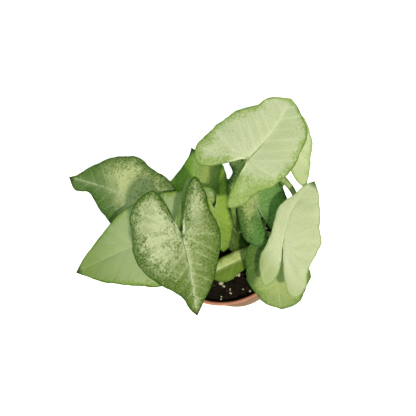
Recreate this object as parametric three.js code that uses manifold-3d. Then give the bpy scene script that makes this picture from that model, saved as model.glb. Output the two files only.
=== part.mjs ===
// Arrowhead plant (Syngonium) with white-variegated leaves, standing in a round nursery pot.
// Millimetres, +Z up. The origin is the centre of the pot's base, on the surface it stands on.
import * as THREE from "three";
import { mergeVertices } from "three/addons/utils/BufferGeometryUtils.js";
import Module from "manifold-3d";

const wasm = await Module();
wasm.setup();

// ---- Driving dimensions -------------------------------------------------------------------

const POT_HEIGHT = 90;
const POT_BASE_RADIUS = 37;
const POT_RIM_RADIUS = 54;
const POT_WALL = 1.8;
const POT_FLOOR = 2.6;
const RIM_BAND_HEIGHT = 11;
const RIM_BAND_STEP = 1.1;
const DRAIN_HOLE_RADIUS = 4;
const DRAIN_RING_RADIUS = 24;
const DRAIN_HOLES = 6;

const SOIL_TOP = 82;
const SOIL_RELIEF = 1.6;
const SEAT_GAP = 0.3;

const BLADE_THICKNESS = 0.7;
const BLADE_ROWS = 11;
const LOBE_ROWS = 6;
const BLADE_COLUMNS = 4;

const STEM_DEPTH = 22;
const STEM_RISE = 9;
const STEM_RADIUS = 4.2;
const SHEATH_RADIUS = 2.6;
const PETIOLE_SIDES = 7;
const PETIOLE_STEP = 9;

const COLOURS = {
  pot: 0xb0947e,
  soil: 0x1d150f,
  petiole: 0x6f9a45,
  blade: 0xb4c68a,
};

// ---- The plant's own measures --------------------------------------------------------------

// Each shoot's stem stands in the soil at this place.
const SHOOTS = {
  shoot_left: [-5, 26],
  shoot_middle: [15.5, 2],
  shoot_right: [26, -12],
};

// Half widths are taken at these shares of the way from the tip to the end of the lobe.
const WIDTH_STATIONS = [0, 0.08, 0.2, 0.35, 0.55, 0.8];

// One entry for each leaf. at: the point where stalk and blade meet. turn: compass direction of
// the tip, in degrees from +X towards +Y. dip: how far the tip side slopes down. lean: how far
// the right side slopes down. length: from that point to the tip. lobes, outset, right and left:
// length of the two basal lobes, how far their ends lie from the midrib, and the half widths.
// fold: upward angle of each half at the midrib. curl: how far each half then bends down again.
// droop, hook, bend, sag: bend of the midrib down, of its tip down, sideways, and of the lobes.
// cut: how late the notch between the lobes opens. wave: height, number and phase of edge waves.
// neck: angle at which the stalk meets the blade. stalk: its radius there. via: its way up.
const LEAVES = {
  blade_front: {
    at: [-24.8, -8.1, 165], turn: 256, dip: 26, lean: -31, length: 61.8,
    lobes: [38.4, 39.7], outset: [15.9, 18.9], right: [6.2, 11.9, 28.4, 39.6, 36.7], left: [5.3, 14.3, 23.2, 30.7, 26.1],
    fold: 12, curl: [25, 25], droop: 15, hook: 0, bend: 2, sag: -8, cut: 1.25, wave: [0.8, 3.5, 0.3],
    shoot: "shoot_left", neck: 40, stalk: 1.8,
    via: [[-4, 34, 108], [-1, 43, 125], [-3, 39, 138], [-9, 28, 149], [-17, 15, 157], [-23, 3, 162]],
  },
  blade_upper: {
    at: [40.8, 11.1, 192], turn: 16.4, dip: 1, lean: 10, length: 55.5,
    lobes: [32.9, 27.6], outset: [15.7, 21.1], right: [9.8, 21.6, 25.7, 28.2, 22.8], left: [13, 18.8, 28, 32.5, 33.1],
    fold: 12, curl: [25, 25], droop: -9, hook: 27, bend: -24.6, sag: 5, cut: 0.9, wave: [1.1, 4, 1.2],
    shoot: "shoot_middle", neck: 70, stalk: 1.9,
    via: [[15.4, 2, 112], [19.2, 4.6, 140], [33, 11, 176]],
  },
  blade_right: {
    at: [37.1, -44.2, 150], turn: 58.2, dip: -22, lean: -27, length: 54.6,
    lobes: [37.1, 31.9], outset: [9.5, 14.3], right: [10.4, 19.1, 26, 30.6, 21.7], left: [3.1, 5.2, 11.2, 10.8, 20.2],
    fold: 4, curl: [9, 9], droop: 45, hook: 0, bend: 30, sag: 5, cut: 2.8, wave: [0.7, 3, 0.5],
    shoot: "shoot_right", neck: 75, stalk: 1.7,
    via: [[27, -15, 108], [33.9, -27, 131], [36.6, -38, 144]],
  },
  blade_left_back: {
    at: [-41, 49, 111], turn: 127, dip: 4, lean: -16, length: 77,
    lobes: [18, 31], outset: [17, 18], right: [4, 15, 26, 33, 27], left: [9, 8, 19, 31, 28],
    fold: 10, curl: [25, 30], droop: -4, hook: 0, bend: -8, sag: 5, cut: 1.7, wave: [1, 3, 0],
    shoot: "shoot_left", neck: 40, stalk: 1.6,
    via: [[-20, 33, 100]],
  },
  blade_left_front: {
    at: [-37, 11, 134], turn: 174, dip: -2, lean: 12, length: 77,
    lobes: [49, 38], outset: [18, 18], right: [9, 19, 32, 40, 34], left: [9, 21, 31, 41, 35],
    fold: 8, curl: [20, 20], droop: 12, hook: 0, bend: 1, sag: 5, cut: 1.7, wave: [0.8, 3, 0.8],
    shoot: "shoot_left", neck: 55, stalk: 1.7,
    via: [[-18, 20, 108]],
  },
  blade_low_right: {
    at: [28, -42, 120], turn: 251, dip: 44, lean: 6, length: 63,
    lobes: [16, 18], outset: [11, 12], right: [3, 13, 18, 24, 22], left: [4, 14, 19, 26, 22],
    fold: 8, curl: [25, 25], droop: 30, hook: 20, bend: 9, sag: 5, cut: 1.7, wave: [0.8, 3, 0.4],
    shoot: "shoot_right", neck: 90, stalk: 1.5,
    via: [[26, -28, 103]],
  },
  blade_back_right: {
    at: [75, 27, 150], turn: 60, dip: 9, lean: 5, length: 46,
    lobes: [37, 35], outset: [17, 15], right: [3, 10, 17, 21, 20], left: [3, 10, 17, 20, 18],
    fold: 8, curl: [20, 20], droop: 15, hook: 0, bend: 0, sag: 0, cut: 1.7, wave: [0.6, 3, 1],
    shoot: "shoot_right", neck: 60, stalk: 1.5,
    via: [[40, -3, 104], [62, 12, 124]],
  },
  blade_back: {
    at: [1.9, 51.1, 104], turn: 66.3, dip: 6, lean: -10, length: 35.8,
    lobes: [22, 20], outset: [10, 10], right: [3, 12, 21, 25, 20], left: [1.7, 5.4, 12.4, 23.4, 23],
    fold: 8, curl: [20, 20], droop: 12, hook: 0, bend: -17, sag: 0, cut: 1.2, wave: [0.6, 3, 0.2],
    shoot: "shoot_left", neck: 45, stalk: 1.3,
    via: [[-2, 36, 94]],
  },
  blade_middle: {
    at: [5, 12, 132], turn: 249, dip: 39, lean: 14, length: 39,
    lobes: [11, 34], outset: [4, 13], right: [4, 7, 7, 7, 6], left: [6, 10, 13, 12, 14],
    fold: 8, curl: [20, 20], droop: 15, hook: 0, bend: 0, sag: 0, cut: 0.8, wave: [0.6, 3, 0.6],
    shoot: "shoot_left", neck: 105, stalk: 1.4,
    via: [[2, 22, 110]],
  },
  blade_inner_right: {
    at: [34.5, 0, 130], turn: 87.3, dip: 7, lean: 0, length: 53.3,
    lobes: [38, 35], outset: [9, 5], right: [3, 11, 20, 25, 22], left: [7.6, 7.3, 17, 14.5, 19],
    fold: 8, curl: [20, 20], droop: 12, hook: 0, bend: 11, sag: 0, cut: 2.2, wave: [0.7, 3, 0.9],
    shoot: "shoot_right", neck: 60, stalk: 1.6,
    via: [[30, -9, 108]],
  },
  blade_low_front: {
    at: [12, -24, 98], turn: 175, dip: 6, lean: 4, length: 40,
    lobes: [9, 8], outset: [6, 4], right: [3, 6, 8, 9, 8], left: [3, 8, 12, 11, 8],
    fold: 12, curl: [30, 30], droop: 12, hook: 0, bend: 0, sag: 0, cut: 1.4, wave: [0.6, 3, 0.4],
    shoot: "shoot_right", neck: 60, stalk: 1.3,
    via: [[20, -18, 92]],
  },
  blade_low_middle: {
    at: [11, 11, 97], turn: 104, dip: -4, lean: 0, length: 23,
    lobes: [9, 29], outset: [7, 1.5], right: [3, 6, 8, 9, 9], left: [2, 6, 11, 14, 15],
    fold: 12, curl: [25, 25], droop: 10, hook: 0, bend: 0, sag: 5, cut: 0.6, wave: [0.5, 3, 0.4],
    shoot: "shoot_middle", neck: 60, stalk: 1.2,
    via: [],
  },
  blade_young: {
    at: [61, 4, 140], turn: -62, dip: 5, lean: 0, length: 21,
    lobes: [5, 9], outset: [2, 6], right: [1, 1.6, 2, 2, 2], left: [1, 1.8, 2.2, 2.6, 4],
    fold: 15, curl: [30, 30], droop: 30, hook: 0, bend: 45, sag: 0, cut: 1.7, wave: [0.2, 3, 0.4],
    shoot: "shoot_right", neck: 80, stalk: 0.9,
    via: [[40, -2, 102], [55, 8, 112], [61, 7, 124]],
  },
};

// ---- Closed meshes and solids ---------------------------------------------------------------

function meshFrom(points, triangles) {
  const geometry = new THREE.BufferGeometry();
  geometry.setAttribute("position", new THREE.Float32BufferAttribute(points.flat(), 3));
  geometry.setIndex(triangles.flat());
  return geometry;
}

function solidFrom(geometry) {
  const bare = new THREE.BufferGeometry();
  bare.setAttribute("position", geometry.getAttribute("position"));
  bare.setIndex(geometry.index);
  const merged = mergeVertices(bare, 1e-3);
  return new wasm.Manifold(
    new wasm.Mesh({
      numProp: 3,
      vertProperties: merged.attributes.position.array,
      triVerts: new Uint32Array(merged.index.array),
    }),
  );
}

function geometryFrom(solid) {
  const mesh = solid.getMesh();
  const geometry = new THREE.BufferGeometry();
  geometry.setAttribute("position", new THREE.BufferAttribute(mesh.vertProperties, 3));
  geometry.setIndex(new THREE.BufferAttribute(mesh.triVerts, 1));
  return geometry;
}

// A round bar whose radius runs evenly from the first value to the second along a smooth path.
function taperedBar(path, firstRadius, lastRadius, sides, steps) {
  const frames = path.computeFrenetFrames(steps, false);
  const points = [];
  for (let i = 0; i <= steps; i++) {
    const centre = path.getPointAt(i / steps);
    const radius = THREE.MathUtils.lerp(firstRadius, lastRadius, i / steps);
    for (let k = 0; k < sides; k++) {
      const angle = (2 * Math.PI * k) / sides;
      const rim = centre.clone();
      rim.addScaledVector(frames.normals[i], radius * Math.cos(angle));
      rim.addScaledVector(frames.binormals[i], radius * Math.sin(angle));
      points.push(rim.toArray());
    }
  }
  const first = points.push(path.getPointAt(0).toArray()) - 1;
  const last = points.push(path.getPointAt(1).toArray()) - 1;
  const triangles = [];
  for (let k = 0; k < sides; k++) {
    const next = (k + 1) % sides;
    triangles.push([first, next, k]);
    triangles.push([last, steps * sides + k, steps * sides + next]);
    for (let i = 0; i < steps; i++) {
      const a = i * sides + k;
      const b = i * sides + next;
      triangles.push([a, b, b + sides], [a, b + sides, a + sides]);
    }
  }
  return meshFrom(points, triangles);
}

// ---- Leaf blades ----------------------------------------------------------------------------

const radians = THREE.MathUtils.degToRad;

// Half width at a share s of the way from tip to lobe end: a smooth curve through the stations,
// then a quarter ellipse that rounds the lobe off at its outset.
function halfWidth(s, widths, outset) {
  const values = [0, ...widths];
  const lastStation = WIDTH_STATIONS.length - 1;
  if (s >= WIDTH_STATIONS[lastStation]) {
    const v = (s - WIDTH_STATIONS[lastStation]) / (1 - WIDTH_STATIONS[lastStation]);
    return outset + (values[lastStation] - outset) * Math.sqrt(Math.max(0, 1 - v * v));
  }
  const slope = (k) => {
    if (k === lastStation) return 0;
    if (k === 0) return (values[1] - values[0]) / (WIDTH_STATIONS[1] - WIDTH_STATIONS[0]);
    return (values[k + 1] - values[k - 1]) / (WIDTH_STATIONS[k + 1] - WIDTH_STATIONS[k - 1]);
  };
  const k = WIDTH_STATIONS.findLastIndex((station) => station <= s);
  const span = WIDTH_STATIONS[k + 1] - WIDTH_STATIONS[k];
  const t = (s - WIDTH_STATIONS[k]) / span;
  return (
    (2 * t ** 3 - 3 * t ** 2 + 1) * values[k] +
    (t ** 3 - 2 * t ** 2 + t) * span * slope(k) +
    (3 * t ** 2 - 2 * t ** 3) * values[k + 1] +
    (t ** 3 - t ** 2) * span * slope(k + 1)
  );
}

// Distance of the notch's edge from the midrib line at a share v of the lobe's length. It opens
// slowly at first and rounds over into the lobe's end.
function notchWidth(v, outset, cut) {
  return outset * (0.06 * Math.min(1, 8 * v) * (1 - v) + 1 - (1 - v ** cut) ** 0.6);
}

// The blade's own directions: right, towards the tip, and out of its upper face.
function bladeAxes(leaf) {
  const turn = radians(leaf.turn);
  const dip = radians(leaf.dip);
  const lean = radians(leaf.lean);
  const tip = new THREE.Vector3(
    Math.cos(turn) * Math.cos(dip),
    Math.sin(turn) * Math.cos(dip),
    -Math.sin(dip),
  );
  const level = new THREE.Vector3(
    Math.cos(turn) * Math.sin(dip),
    Math.sin(turn) * Math.sin(dip),
    Math.cos(dip),
  );
  const side = tip.clone().cross(level);
  const right = side.clone().multiplyScalar(Math.cos(lean)).addScaledVector(level, -Math.sin(lean));
  const face = level.clone().multiplyScalar(Math.cos(lean)).addScaledVector(side, Math.sin(lean));
  return { right, tip, face };
}

// Where the midrib line is at a distance along the blade, and its two bend angles there.
// Towards the tip it bends by droop and hook and sideways by bend; over the lobes it is an arc.
function midrib(leaf, along) {
  const back = Math.max(0, -along);
  if (back > 0) {
    const rate = radians(leaf.sag || 1e-4) / ((leaf.lobes[0] + leaf.lobes[1]) / 2);
    const angle = rate * back;
    return { ahead: -Math.sin(angle) / rate, down: (1 - Math.cos(angle)) / rate, aside: 0, pitch: -angle, yaw: 0 };
  }
  const steps = 40;
  const end = along / leaf.length;
  const place = { ahead: 0, down: 0, aside: 0, pitch: 0, yaw: 0 };
  for (let i = 0; i < steps; i++) {
    const u = (end * (i + 0.5)) / steps;
    const pitch = radians(leaf.droop) * u + radians(leaf.hook) * u ** 4;
    const yaw = radians(leaf.bend) * u;
    const piece = along / steps;
    place.ahead += piece * Math.cos(pitch) * Math.cos(yaw);
    place.aside += piece * Math.cos(pitch) * Math.sin(yaw);
    place.down += piece * Math.sin(pitch);
  }
  place.pitch = radians(leaf.droop) * end + radians(leaf.hook) * end ** 4;
  place.yaw = radians(leaf.bend) * end;
  return place;
}

// A point of the blade's middle surface: out from the midrib on one side (+1 right, -1 left).
// Across the midrib each half is an arc that starts at the fold angle and bends down by the curl.
function bladePoint(leaf, axes, out, along, side) {
  const widths = side > 0 ? leaf.right : leaf.left;
  const lobe = leaf.lobes[side > 0 ? 0 : 1];
  const widest = Math.max(...widths);
  const rate = radians(leaf.curl[side > 0 ? 0 : 1]) / widest;
  const fold = radians(leaf.fold);
  const sideways = (Math.sin(fold) - Math.sin(fold - rate * out)) / rate;
  const share = (leaf.length - along) / (leaf.length + lobe);
  const [height, count, phase] = leaf.wave;
  const ripple =
    height *
    (out / widest) ** 2 *
    Math.sin(2 * Math.PI * count * share + phase + (side > 0 ? 0 : 1.9)) *
    Math.sin(Math.PI * share);
  const lift = (Math.cos(fold - rate * out) - Math.cos(fold)) / rate + ripple;
  const { ahead, down, aside, pitch, yaw } = midrib(leaf, along);
  const heading = axes.tip.clone().multiplyScalar(Math.cos(yaw)).addScaledVector(axes.right, Math.sin(yaw));
  const across = axes.right.clone().multiplyScalar(Math.cos(yaw)).addScaledVector(axes.tip, -Math.sin(yaw));
  const face = axes.face.clone().multiplyScalar(Math.cos(pitch)).addScaledVector(heading, Math.sin(pitch));
  return new THREE.Vector3(...leaf.at)
    .addScaledVector(axes.tip, ahead)
    .addScaledVector(axes.right, aside)
    .addScaledVector(axes.face, -down)
    .addScaledVector(across, side * sideways)
    .addScaledVector(face, lift);
}

// The middle surface as shared points and triangles: rows run across each half from the midrib,
// or from the notch's edge, to the margin, and close up at the tip and at the lobes' ends.
function bladeSheet(leaf) {
  const axes = bladeAxes(leaf);
  const points = [];
  const triangles = [];
  const shared = new Map();
  for (const side of [1, -1]) {
    const widths = side > 0 ? leaf.right : leaf.left;
    const lobe = leaf.lobes[side > 0 ? 0 : 1];
    const outset = leaf.outset[side > 0 ? 0 : 1];
    const rows = [];
    for (let i = 0; i <= BLADE_ROWS + LOBE_ROWS; i++) {
      const forward = i <= BLADE_ROWS;
      const k = forward ? i / BLADE_ROWS : (i - BLADE_ROWS) / LOBE_ROWS;
      const along = forward ? leaf.length * (1 - k ** 1.25) : -lobe * Math.sin((Math.PI / 2) * k);
      const inner = forward ? 0 : notchWidth(-along / lobe, outset, leaf.cut);
      const outer = halfWidth((leaf.length - along) / (leaf.length + lobe), widths, outset);
      const closes = i === 0 || i === BLADE_ROWS + LOBE_ROWS;
      const row = [];
      for (let j = 0; j <= BLADE_COLUMNS; j++) {
        const column = closes ? 0 : j;
        const onMidrib = forward && column === 0;
        const key = `${onMidrib ? 0 : side} ${i} ${column}`;
        if (!shared.has(key)) {
          const out = inner + (outer - inner) * (column / BLADE_COLUMNS);
          shared.set(key, points.push(bladePoint(leaf, axes, out, along, side).toArray()) - 1);
        }
        row.push(shared.get(key));
      }
      rows.push(row);
    }
    for (let i = 0; i < rows.length - 1; i++) {
      for (let j = 0; j < BLADE_COLUMNS; j++) {
        const [a, b] = [rows[i][j], rows[i][j + 1]];
        const [c, d] = [rows[i + 1][j], rows[i + 1][j + 1]];
        const faces = [[a, d, b], [a, c, d]];
        for (const [p, q, r] of faces) {
          if (p === q || q === r || r === p) continue;
          triangles.push(side > 0 ? [p, q, r] : [p, r, q]);
        }
      }
    }
  }
  return { points, triangles };
}

// Gives a sheet its thickness: a copy above and below along the mean normals, and a rim round it.
function thicken({ points, triangles }, thickness) {
  const sheet = meshFrom(points, triangles);
  sheet.computeVertexNormals();
  const normals = sheet.getAttribute("normal");
  const count = points.length;
  const layer = (sign) =>
    points.map((point, i) => {
      const normal = new THREE.Vector3().fromBufferAttribute(normals, i);
      return new THREE.Vector3(...point).addScaledVector(normal, (sign * thickness) / 2).toArray();
    });
  const edges = new Set(triangles.flatMap(([a, b, c]) => [`${a} ${b}`, `${b} ${c}`, `${c} ${a}`]));
  const rim = [...edges]
    .map((edge) => edge.split(" ").map(Number))
    .filter(([a, b]) => !edges.has(`${b} ${a}`))
    .flatMap(([a, b]) => [[b, a, a + count], [b, a + count, b + count]]);
  const lower = triangles.map(([a, b, c]) => [a + count, c + count, b + count]);
  return meshFrom([...layer(1), ...layer(-1)], [...triangles, ...lower, ...rim]);
}

// ---- Shoots: a stem with its leaf stalks, grown together ------------------------------------

// The stalk's way from its shoot to just under the blade, where it ends along its neck angle.
function petiolePath(leaf) {
  const axes = bladeAxes(leaf);
  const neck = radians(leaf.neck);
  const arrival = axes.tip.clone().multiplyScalar(Math.cos(neck)).addScaledVector(axes.face, Math.sin(neck));
  const depth = BLADE_THICKNESS / 2 + SEAT_GAP + leaf.stalk * Math.abs(Math.cos(neck));
  const end = new THREE.Vector3(...leaf.at).addScaledVector(axes.face, -depth);
  const before = end.clone().addScaledVector(arrival, -7);
  const [x, y] = SHOOTS[leaf.shoot];
  const foot = new THREE.Vector3(x, y, SOIL_TOP - 4);
  const collar = new THREE.Vector3(x, y, SOIL_TOP + 4);
  const via = leaf.via.map((point) => new THREE.Vector3(...point));
  return new THREE.CatmullRomCurve3([foot, collar, ...via, before, end], false, "centripetal");
}

function shootGeometry(name) {
  const [x, y] = SHOOTS[name];
  const axis = new THREE.LineCurve3(
    new THREE.Vector3(x, y, SOIL_TOP - STEM_DEPTH),
    new THREE.Vector3(x, y, SOIL_TOP + STEM_RISE),
  );
  let shoot = solidFrom(taperedBar(axis, STEM_RADIUS, STEM_RADIUS * 0.85, 10, 2));
  for (const leaf of Object.values(LEAVES).filter((entry) => entry.shoot === name)) {
    const path = petiolePath(leaf);
    const steps = Math.ceil(path.getLength() / PETIOLE_STEP);
    shoot = shoot.add(solidFrom(taperedBar(path, SHEATH_RADIUS, leaf.stalk, PETIOLE_SIDES, steps)));
  }
  return geometryFrom(shoot);
}

// ---- Pot and soil -----------------------------------------------------------------------------

// Outer radius of the pot's plain wall at a height.
const wallRadius = (z) =>
  THREE.MathUtils.lerp(POT_BASE_RADIUS, POT_RIM_RADIUS - RIM_BAND_STEP, z / POT_HEIGHT);

function roundBar(x, y, radius, bottom, top, sides) {
  const bar = new THREE.CylinderGeometry(radius, radius, top - bottom, sides);
  bar.rotateX(Math.PI / 2);
  bar.translate(x, y, (top + bottom) / 2);
  return solidFrom(bar);
}

function turned(profile, segments) {
  const geometry = new THREE.LatheGeometry(profile.map(([r, z]) => new THREE.Vector2(r, z)), segments);
  return geometry.rotateX(Math.PI / 2);
}

function potGeometry() {
  const bandFoot = POT_HEIGHT - RIM_BAND_HEIGHT;
  const profile = [
    [0, 0],
    [POT_BASE_RADIUS - 1, 0],
    [POT_BASE_RADIUS, 1],
    [wallRadius(bandFoot), bandFoot],
    [wallRadius(bandFoot) + RIM_BAND_STEP, bandFoot + 1],
    [POT_RIM_RADIUS, POT_HEIGHT - 0.8],
    [POT_RIM_RADIUS - 0.7, POT_HEIGHT],
    [POT_RIM_RADIUS - RIM_BAND_STEP - POT_WALL + 0.6, POT_HEIGHT],
    [POT_RIM_RADIUS - RIM_BAND_STEP - POT_WALL, POT_HEIGHT - 0.6],
    [wallRadius(POT_FLOOR) - POT_WALL, POT_FLOOR],
    [0, POT_FLOOR],
  ];
  let pot = solidFrom(turned(profile, 64));
  for (let i = 0; i < DRAIN_HOLES; i++) {
    const angle = (2 * Math.PI * i) / DRAIN_HOLES;
    const x = DRAIN_RING_RADIUS * Math.cos(angle);
    const y = DRAIN_RING_RADIUS * Math.sin(angle);
    pot = pot.subtract(roundBar(x, y, DRAIN_HOLE_RADIUS, -1, POT_FLOOR + 1, 16));
  }
  return geometryFrom(pot);
}

// Lumps of the soil's surface at a point: two crossing ripples with a slow swell.
function soilRelief(x, y) {
  return (
    SOIL_RELIEF *
    (0.5 * Math.sin(0.31 * x + 1.1) * Math.cos(0.27 * y) +
      0.3 * Math.sin(0.63 * x - 0.52 * y) +
      0.2 * Math.cos(0.9 * y + 0.8 * x))
  );
}

function soilGeometry() {
  const segments = 56;
  const rings = 9;
  const wallAt = (z) => wallRadius(z) - POT_WALL - SEAT_GAP;
  const bottom = POT_FLOOR + SEAT_GAP;
  const points = [[0, 0, SOIL_TOP + soilRelief(0, 0)]];
  const triangles = [];
  const ring = (radius, height) => {
    for (let k = 0; k < segments; k++) {
      const angle = (2 * Math.PI * k) / segments;
      const [x, y] = [radius * Math.cos(angle), radius * Math.sin(angle)];
      points.push([x, y, height(x, y)]);
    }
  };
  const top = wallAt(SOIL_TOP - SOIL_RELIEF);
  for (let i = 1; i <= rings; i++) {
    const fade = i === rings ? 0 : 1;
    ring((top * i) / rings, (x, y) => SOIL_TOP + fade * soilRelief(x, y));
  }
  ring(wallAt(bottom), () => bottom);
  for (let k = 0; k < segments; k++) {
    const next = (k + 1) % segments;
    triangles.push([0, 1 + k, 1 + next]);
    for (let i = 0; i < rings; i++) {
      const [a, b] = [1 + i * segments + k, 1 + i * segments + next];
      triangles.push([a, a + segments, b + segments], [a, b + segments, b]);
    }
    triangles.push([points.length, 1 + rings * segments + next, 1 + rings * segments + k]);
  }
  points.push([0, 0, bottom]);
  let soil = solidFrom(meshFrom(points, triangles));
  for (const [x, y] of Object.values(SHOOTS)) {
    const hole = roundBar(x, y, STEM_RADIUS + SEAT_GAP, SOIL_TOP - STEM_DEPTH - SEAT_GAP, SOIL_TOP + 9, 20);
    soil = soil.subtract(hole);
  }
  return geometryFrom(soil);
}

// ---- The whole plant --------------------------------------------------------------------------

const plant = new THREE.Group();

function addPiece(name, geometry, colour, roughness) {
  const material = new THREE.MeshStandardMaterial({ color: colour, roughness, metalness: 0 });
  const piece = new THREE.Mesh(geometry, material);
  piece.name = name;
  plant.add(piece);
}

addPiece("pot", potGeometry(), COLOURS.pot, 0.55);
addPiece("soil", soilGeometry(), COLOURS.soil, 0.95);
for (const name of Object.keys(SHOOTS)) {
  addPiece(name, shootGeometry(name), COLOURS.petiole, 0.5);
}
for (const [name, leaf] of Object.entries(LEAVES)) {
  addPiece(name, thicken(bladeSheet(leaf), BLADE_THICKNESS), COLOURS.blade, 0.45);
}

export default plant;
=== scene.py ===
# %% [markdown]
# # A white arrowhead plant in its nursery pot
#
# The packed model gives the plant's construction: a pot, its soil, three shoots and thirteen
# blades, each at its real size. This lesson dresses it. Every leaf, stalk and lump of soil is
# made again as a finer surface in the very same place, and gets a finish from shader nodes.

# %% Load the fixed frame
import math
from collections import namedtuple
from functools import partialmethod

import bpy
import numpy as np
from mathutils import Matrix, Vector


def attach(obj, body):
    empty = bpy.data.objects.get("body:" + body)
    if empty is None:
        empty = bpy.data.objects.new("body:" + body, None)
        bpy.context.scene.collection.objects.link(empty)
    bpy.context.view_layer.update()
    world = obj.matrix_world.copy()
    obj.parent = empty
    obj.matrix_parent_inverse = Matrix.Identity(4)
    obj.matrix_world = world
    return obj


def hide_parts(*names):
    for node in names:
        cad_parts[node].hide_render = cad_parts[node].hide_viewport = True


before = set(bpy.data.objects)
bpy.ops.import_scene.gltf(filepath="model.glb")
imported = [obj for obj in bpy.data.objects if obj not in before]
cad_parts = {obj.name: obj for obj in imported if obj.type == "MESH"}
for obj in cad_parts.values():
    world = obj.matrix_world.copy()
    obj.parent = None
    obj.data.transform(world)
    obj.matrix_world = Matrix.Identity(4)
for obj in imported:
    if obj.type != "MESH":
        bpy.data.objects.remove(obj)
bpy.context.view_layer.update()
print("nodes in the frame:", ", ".join(sorted(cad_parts)))

# %% [markdown]
# ## Camera
#
# A camera could be placed by eye. Here it is worked out: it looks steeply down on the plant
# from the front, is rolled a little to one side, and stands 65 cm from the point it aims at.
# The lens follows from how many pixels one radian covers.

# %% Camera
MM = 0.001
AIM = Vector((1, 31, 90)) * MM
CAMERA_DISTANCE = 650 * MM
CAMERA_HEIGHT_ANGLE = math.radians(69)
CAMERA_ROLL = math.radians(-27)
PIXELS_PER_RADIAN = 783
FRAME_PIXELS = 416
SENSOR_WIDTH = 36

backward = Vector((0, -math.cos(CAMERA_HEIGHT_ANGLE), math.sin(CAMERA_HEIGHT_ANGLE)))
level = Vector((1, 0, 0))
rightward = math.cos(CAMERA_ROLL) * level + math.sin(CAMERA_ROLL) * level.cross(-backward)
camera_axes = Matrix((rightward, backward.cross(rightward), backward)).transposed()
camera_data = bpy.data.cameras.new("camera")
camera_data.sensor_width = SENSOR_WIDTH
camera_data.lens = PIXELS_PER_RADIAN / FRAME_PIXELS * SENSOR_WIDTH
camera_data.clip_start = 0.01
camera_data.clip_end = 50
camera = bpy.data.objects.new("camera", camera_data)
camera.matrix_world = Matrix.LocRotScale(AIM + backward * CAMERA_DISTANCE, camera_axes, None)
bpy.context.scene.collection.objects.link(camera)
bpy.context.scene.camera = camera
print("lens in mm:", round(camera_data.lens, 1))

# %% [markdown]
# ## Node helpers
#
# Every finish below is a small sum of noises and measures. Node by node such a sum takes a
# page. Here a node's result is a value that can be added and multiplied like a number, so a
# finish is as short as its formula on paper, and each step still becomes one node.

# %% Colours
def tone(code):
    """A colour written #RRGGBB, as the linear red, green, blue and 1 that Blender mixes."""
    parts = np.array([int(code[i : i + 2], 16) for i in (1, 3, 5)]) / 255
    linear = np.where(parts <= 0.04045, parts / 12.92, ((parts + 0.055) / 1.055) ** 2.4)
    return (*linear.tolist(), 1.0)


print("chart colour #808080 in linear light:", round(tone("#808080")[0], 3))

# %% Values
class Value:
    """A node's result in a recipe. Each arithmetic step on it adds one node."""

    def __init__(self, recipe, socket):
        self.recipe, self.socket = recipe, socket

    def step(self, operation, *others):
        """One arithmetic step on this value and the others."""
        inputs = dict(enumerate((self, *others)))
        return self.recipe.add("Math", inputs, operation=operation)

    def rise(self, low, high, start=0.0, end=1.0):
        """Goes smoothly from start to end while the value goes from low to high."""
        inputs = dict(enumerate((self, low, high, start, end)))
        return self.recipe.add("MapRange", inputs, interpolation_type="SMOOTHSTEP")


STEPS = {
    "__add__": "ADD", "__sub__": "SUBTRACT", "__mul__": "MULTIPLY", "__truediv__": "DIVIDE",
    "__pow__": "POWER", "__abs__": "ABSOLUTE", "at_least": "MAXIMUM", "at_most": "MINIMUM",
}
for method, operation in STEPS.items():
    setattr(Value, method, partialmethod(Value.step, operation))
print("steps on a value:", ", ".join(STEPS.values()).lower())

# %% Recipes
class Recipe:
    """A material, and short names for the nodes that its sums are made of."""

    def __init__(self, name):
        self.material = bpy.data.materials.new(name)
        self.material.use_nodes = True
        self.nodes = self.material.node_tree.nodes
        self.shader = self.nodes["Principled BSDF"]
        self.here = self.add("TexCoord", {}, "Object")

    def plug(self, socket, source):
        """Links a value to a socket, or sets a plain number or colour on it."""
        if isinstance(source, Value):
            self.material.node_tree.links.new(source.socket, socket)
        else:
            socket.default_value = tone(source) if isinstance(source, str) else source

    def add(self, kind, inputs, output=0, **settings):
        """A node with its settings; inputs and output go by number or by name."""
        node = self.nodes.new("ShaderNode" + kind)
        for name, setting in settings.items():
            setattr(node, name, setting)
        for key, source in inputs.items():
            self.plug(node.inputs[key], source)
        return Value(self, node.outputs[output])

    def parts(self, place):
        """The three numbers of a place."""
        node = self.add("SeparateXYZ", {0: place}).socket.node
        return [Value(self, socket) for socket in node.outputs]

    def measure(self, name):
        """A measure kept on the mesh, as three numbers."""
        return self.parts(self.add("Attribute", {}, "Vector", attribute_name=name))

    def mix(self, share, first, second):
        """Share 0 gives the first colour, share 1 the second."""
        return self.add("Mix", {0: share, 6: first, 7: second}, 2, data_type="RGBA")

    def noise(self, where, scale, detail=2.0, roughness=0.5, distortion=0.0):
        """Cloudy noise between 0 and 1; scale is in lumps per unit of where."""
        inputs = {"Vector": where, "Scale": scale, "Detail": detail}
        inputs |= {"Roughness": roughness, "Distortion": distortion}
        return self.add("TexNoise", inputs)

    def bump(self, height, depth):
        """Tilts the shading by a height of 0 to 1 that stands for depth metres."""
        tilted = self.add("Bump", {"Height": height, "Distance": depth, "Strength": 1.0})
        self.plug(self.shader.inputs["Normal"], tilted)

    def set(self, **sockets):
        """Sets the shader's own sockets: an underscore in a name stands for a space."""
        for name, source in sockets.items():
            self.plug(self.shader.inputs[name.replace("_", " ")], source)
        return self.material


print("a recipe can:", ", ".join(name for name in vars(Recipe) if name[0] != "_"))

# %% [markdown]
# ## Floor
#
# The plant stands on a plain white studio floor, and four white walls, far off, close the view
# from the side. On white, a studio lights the floor more than the object. Here the floor glows
# a little instead, and is left out of the plant's own light, so that no glow from below fills
# the shadows under the leaves.

# %% Floor and walls
FLOOR_SIZE = 16.0
BACKDROP_HEIGHT = 4.0

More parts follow.
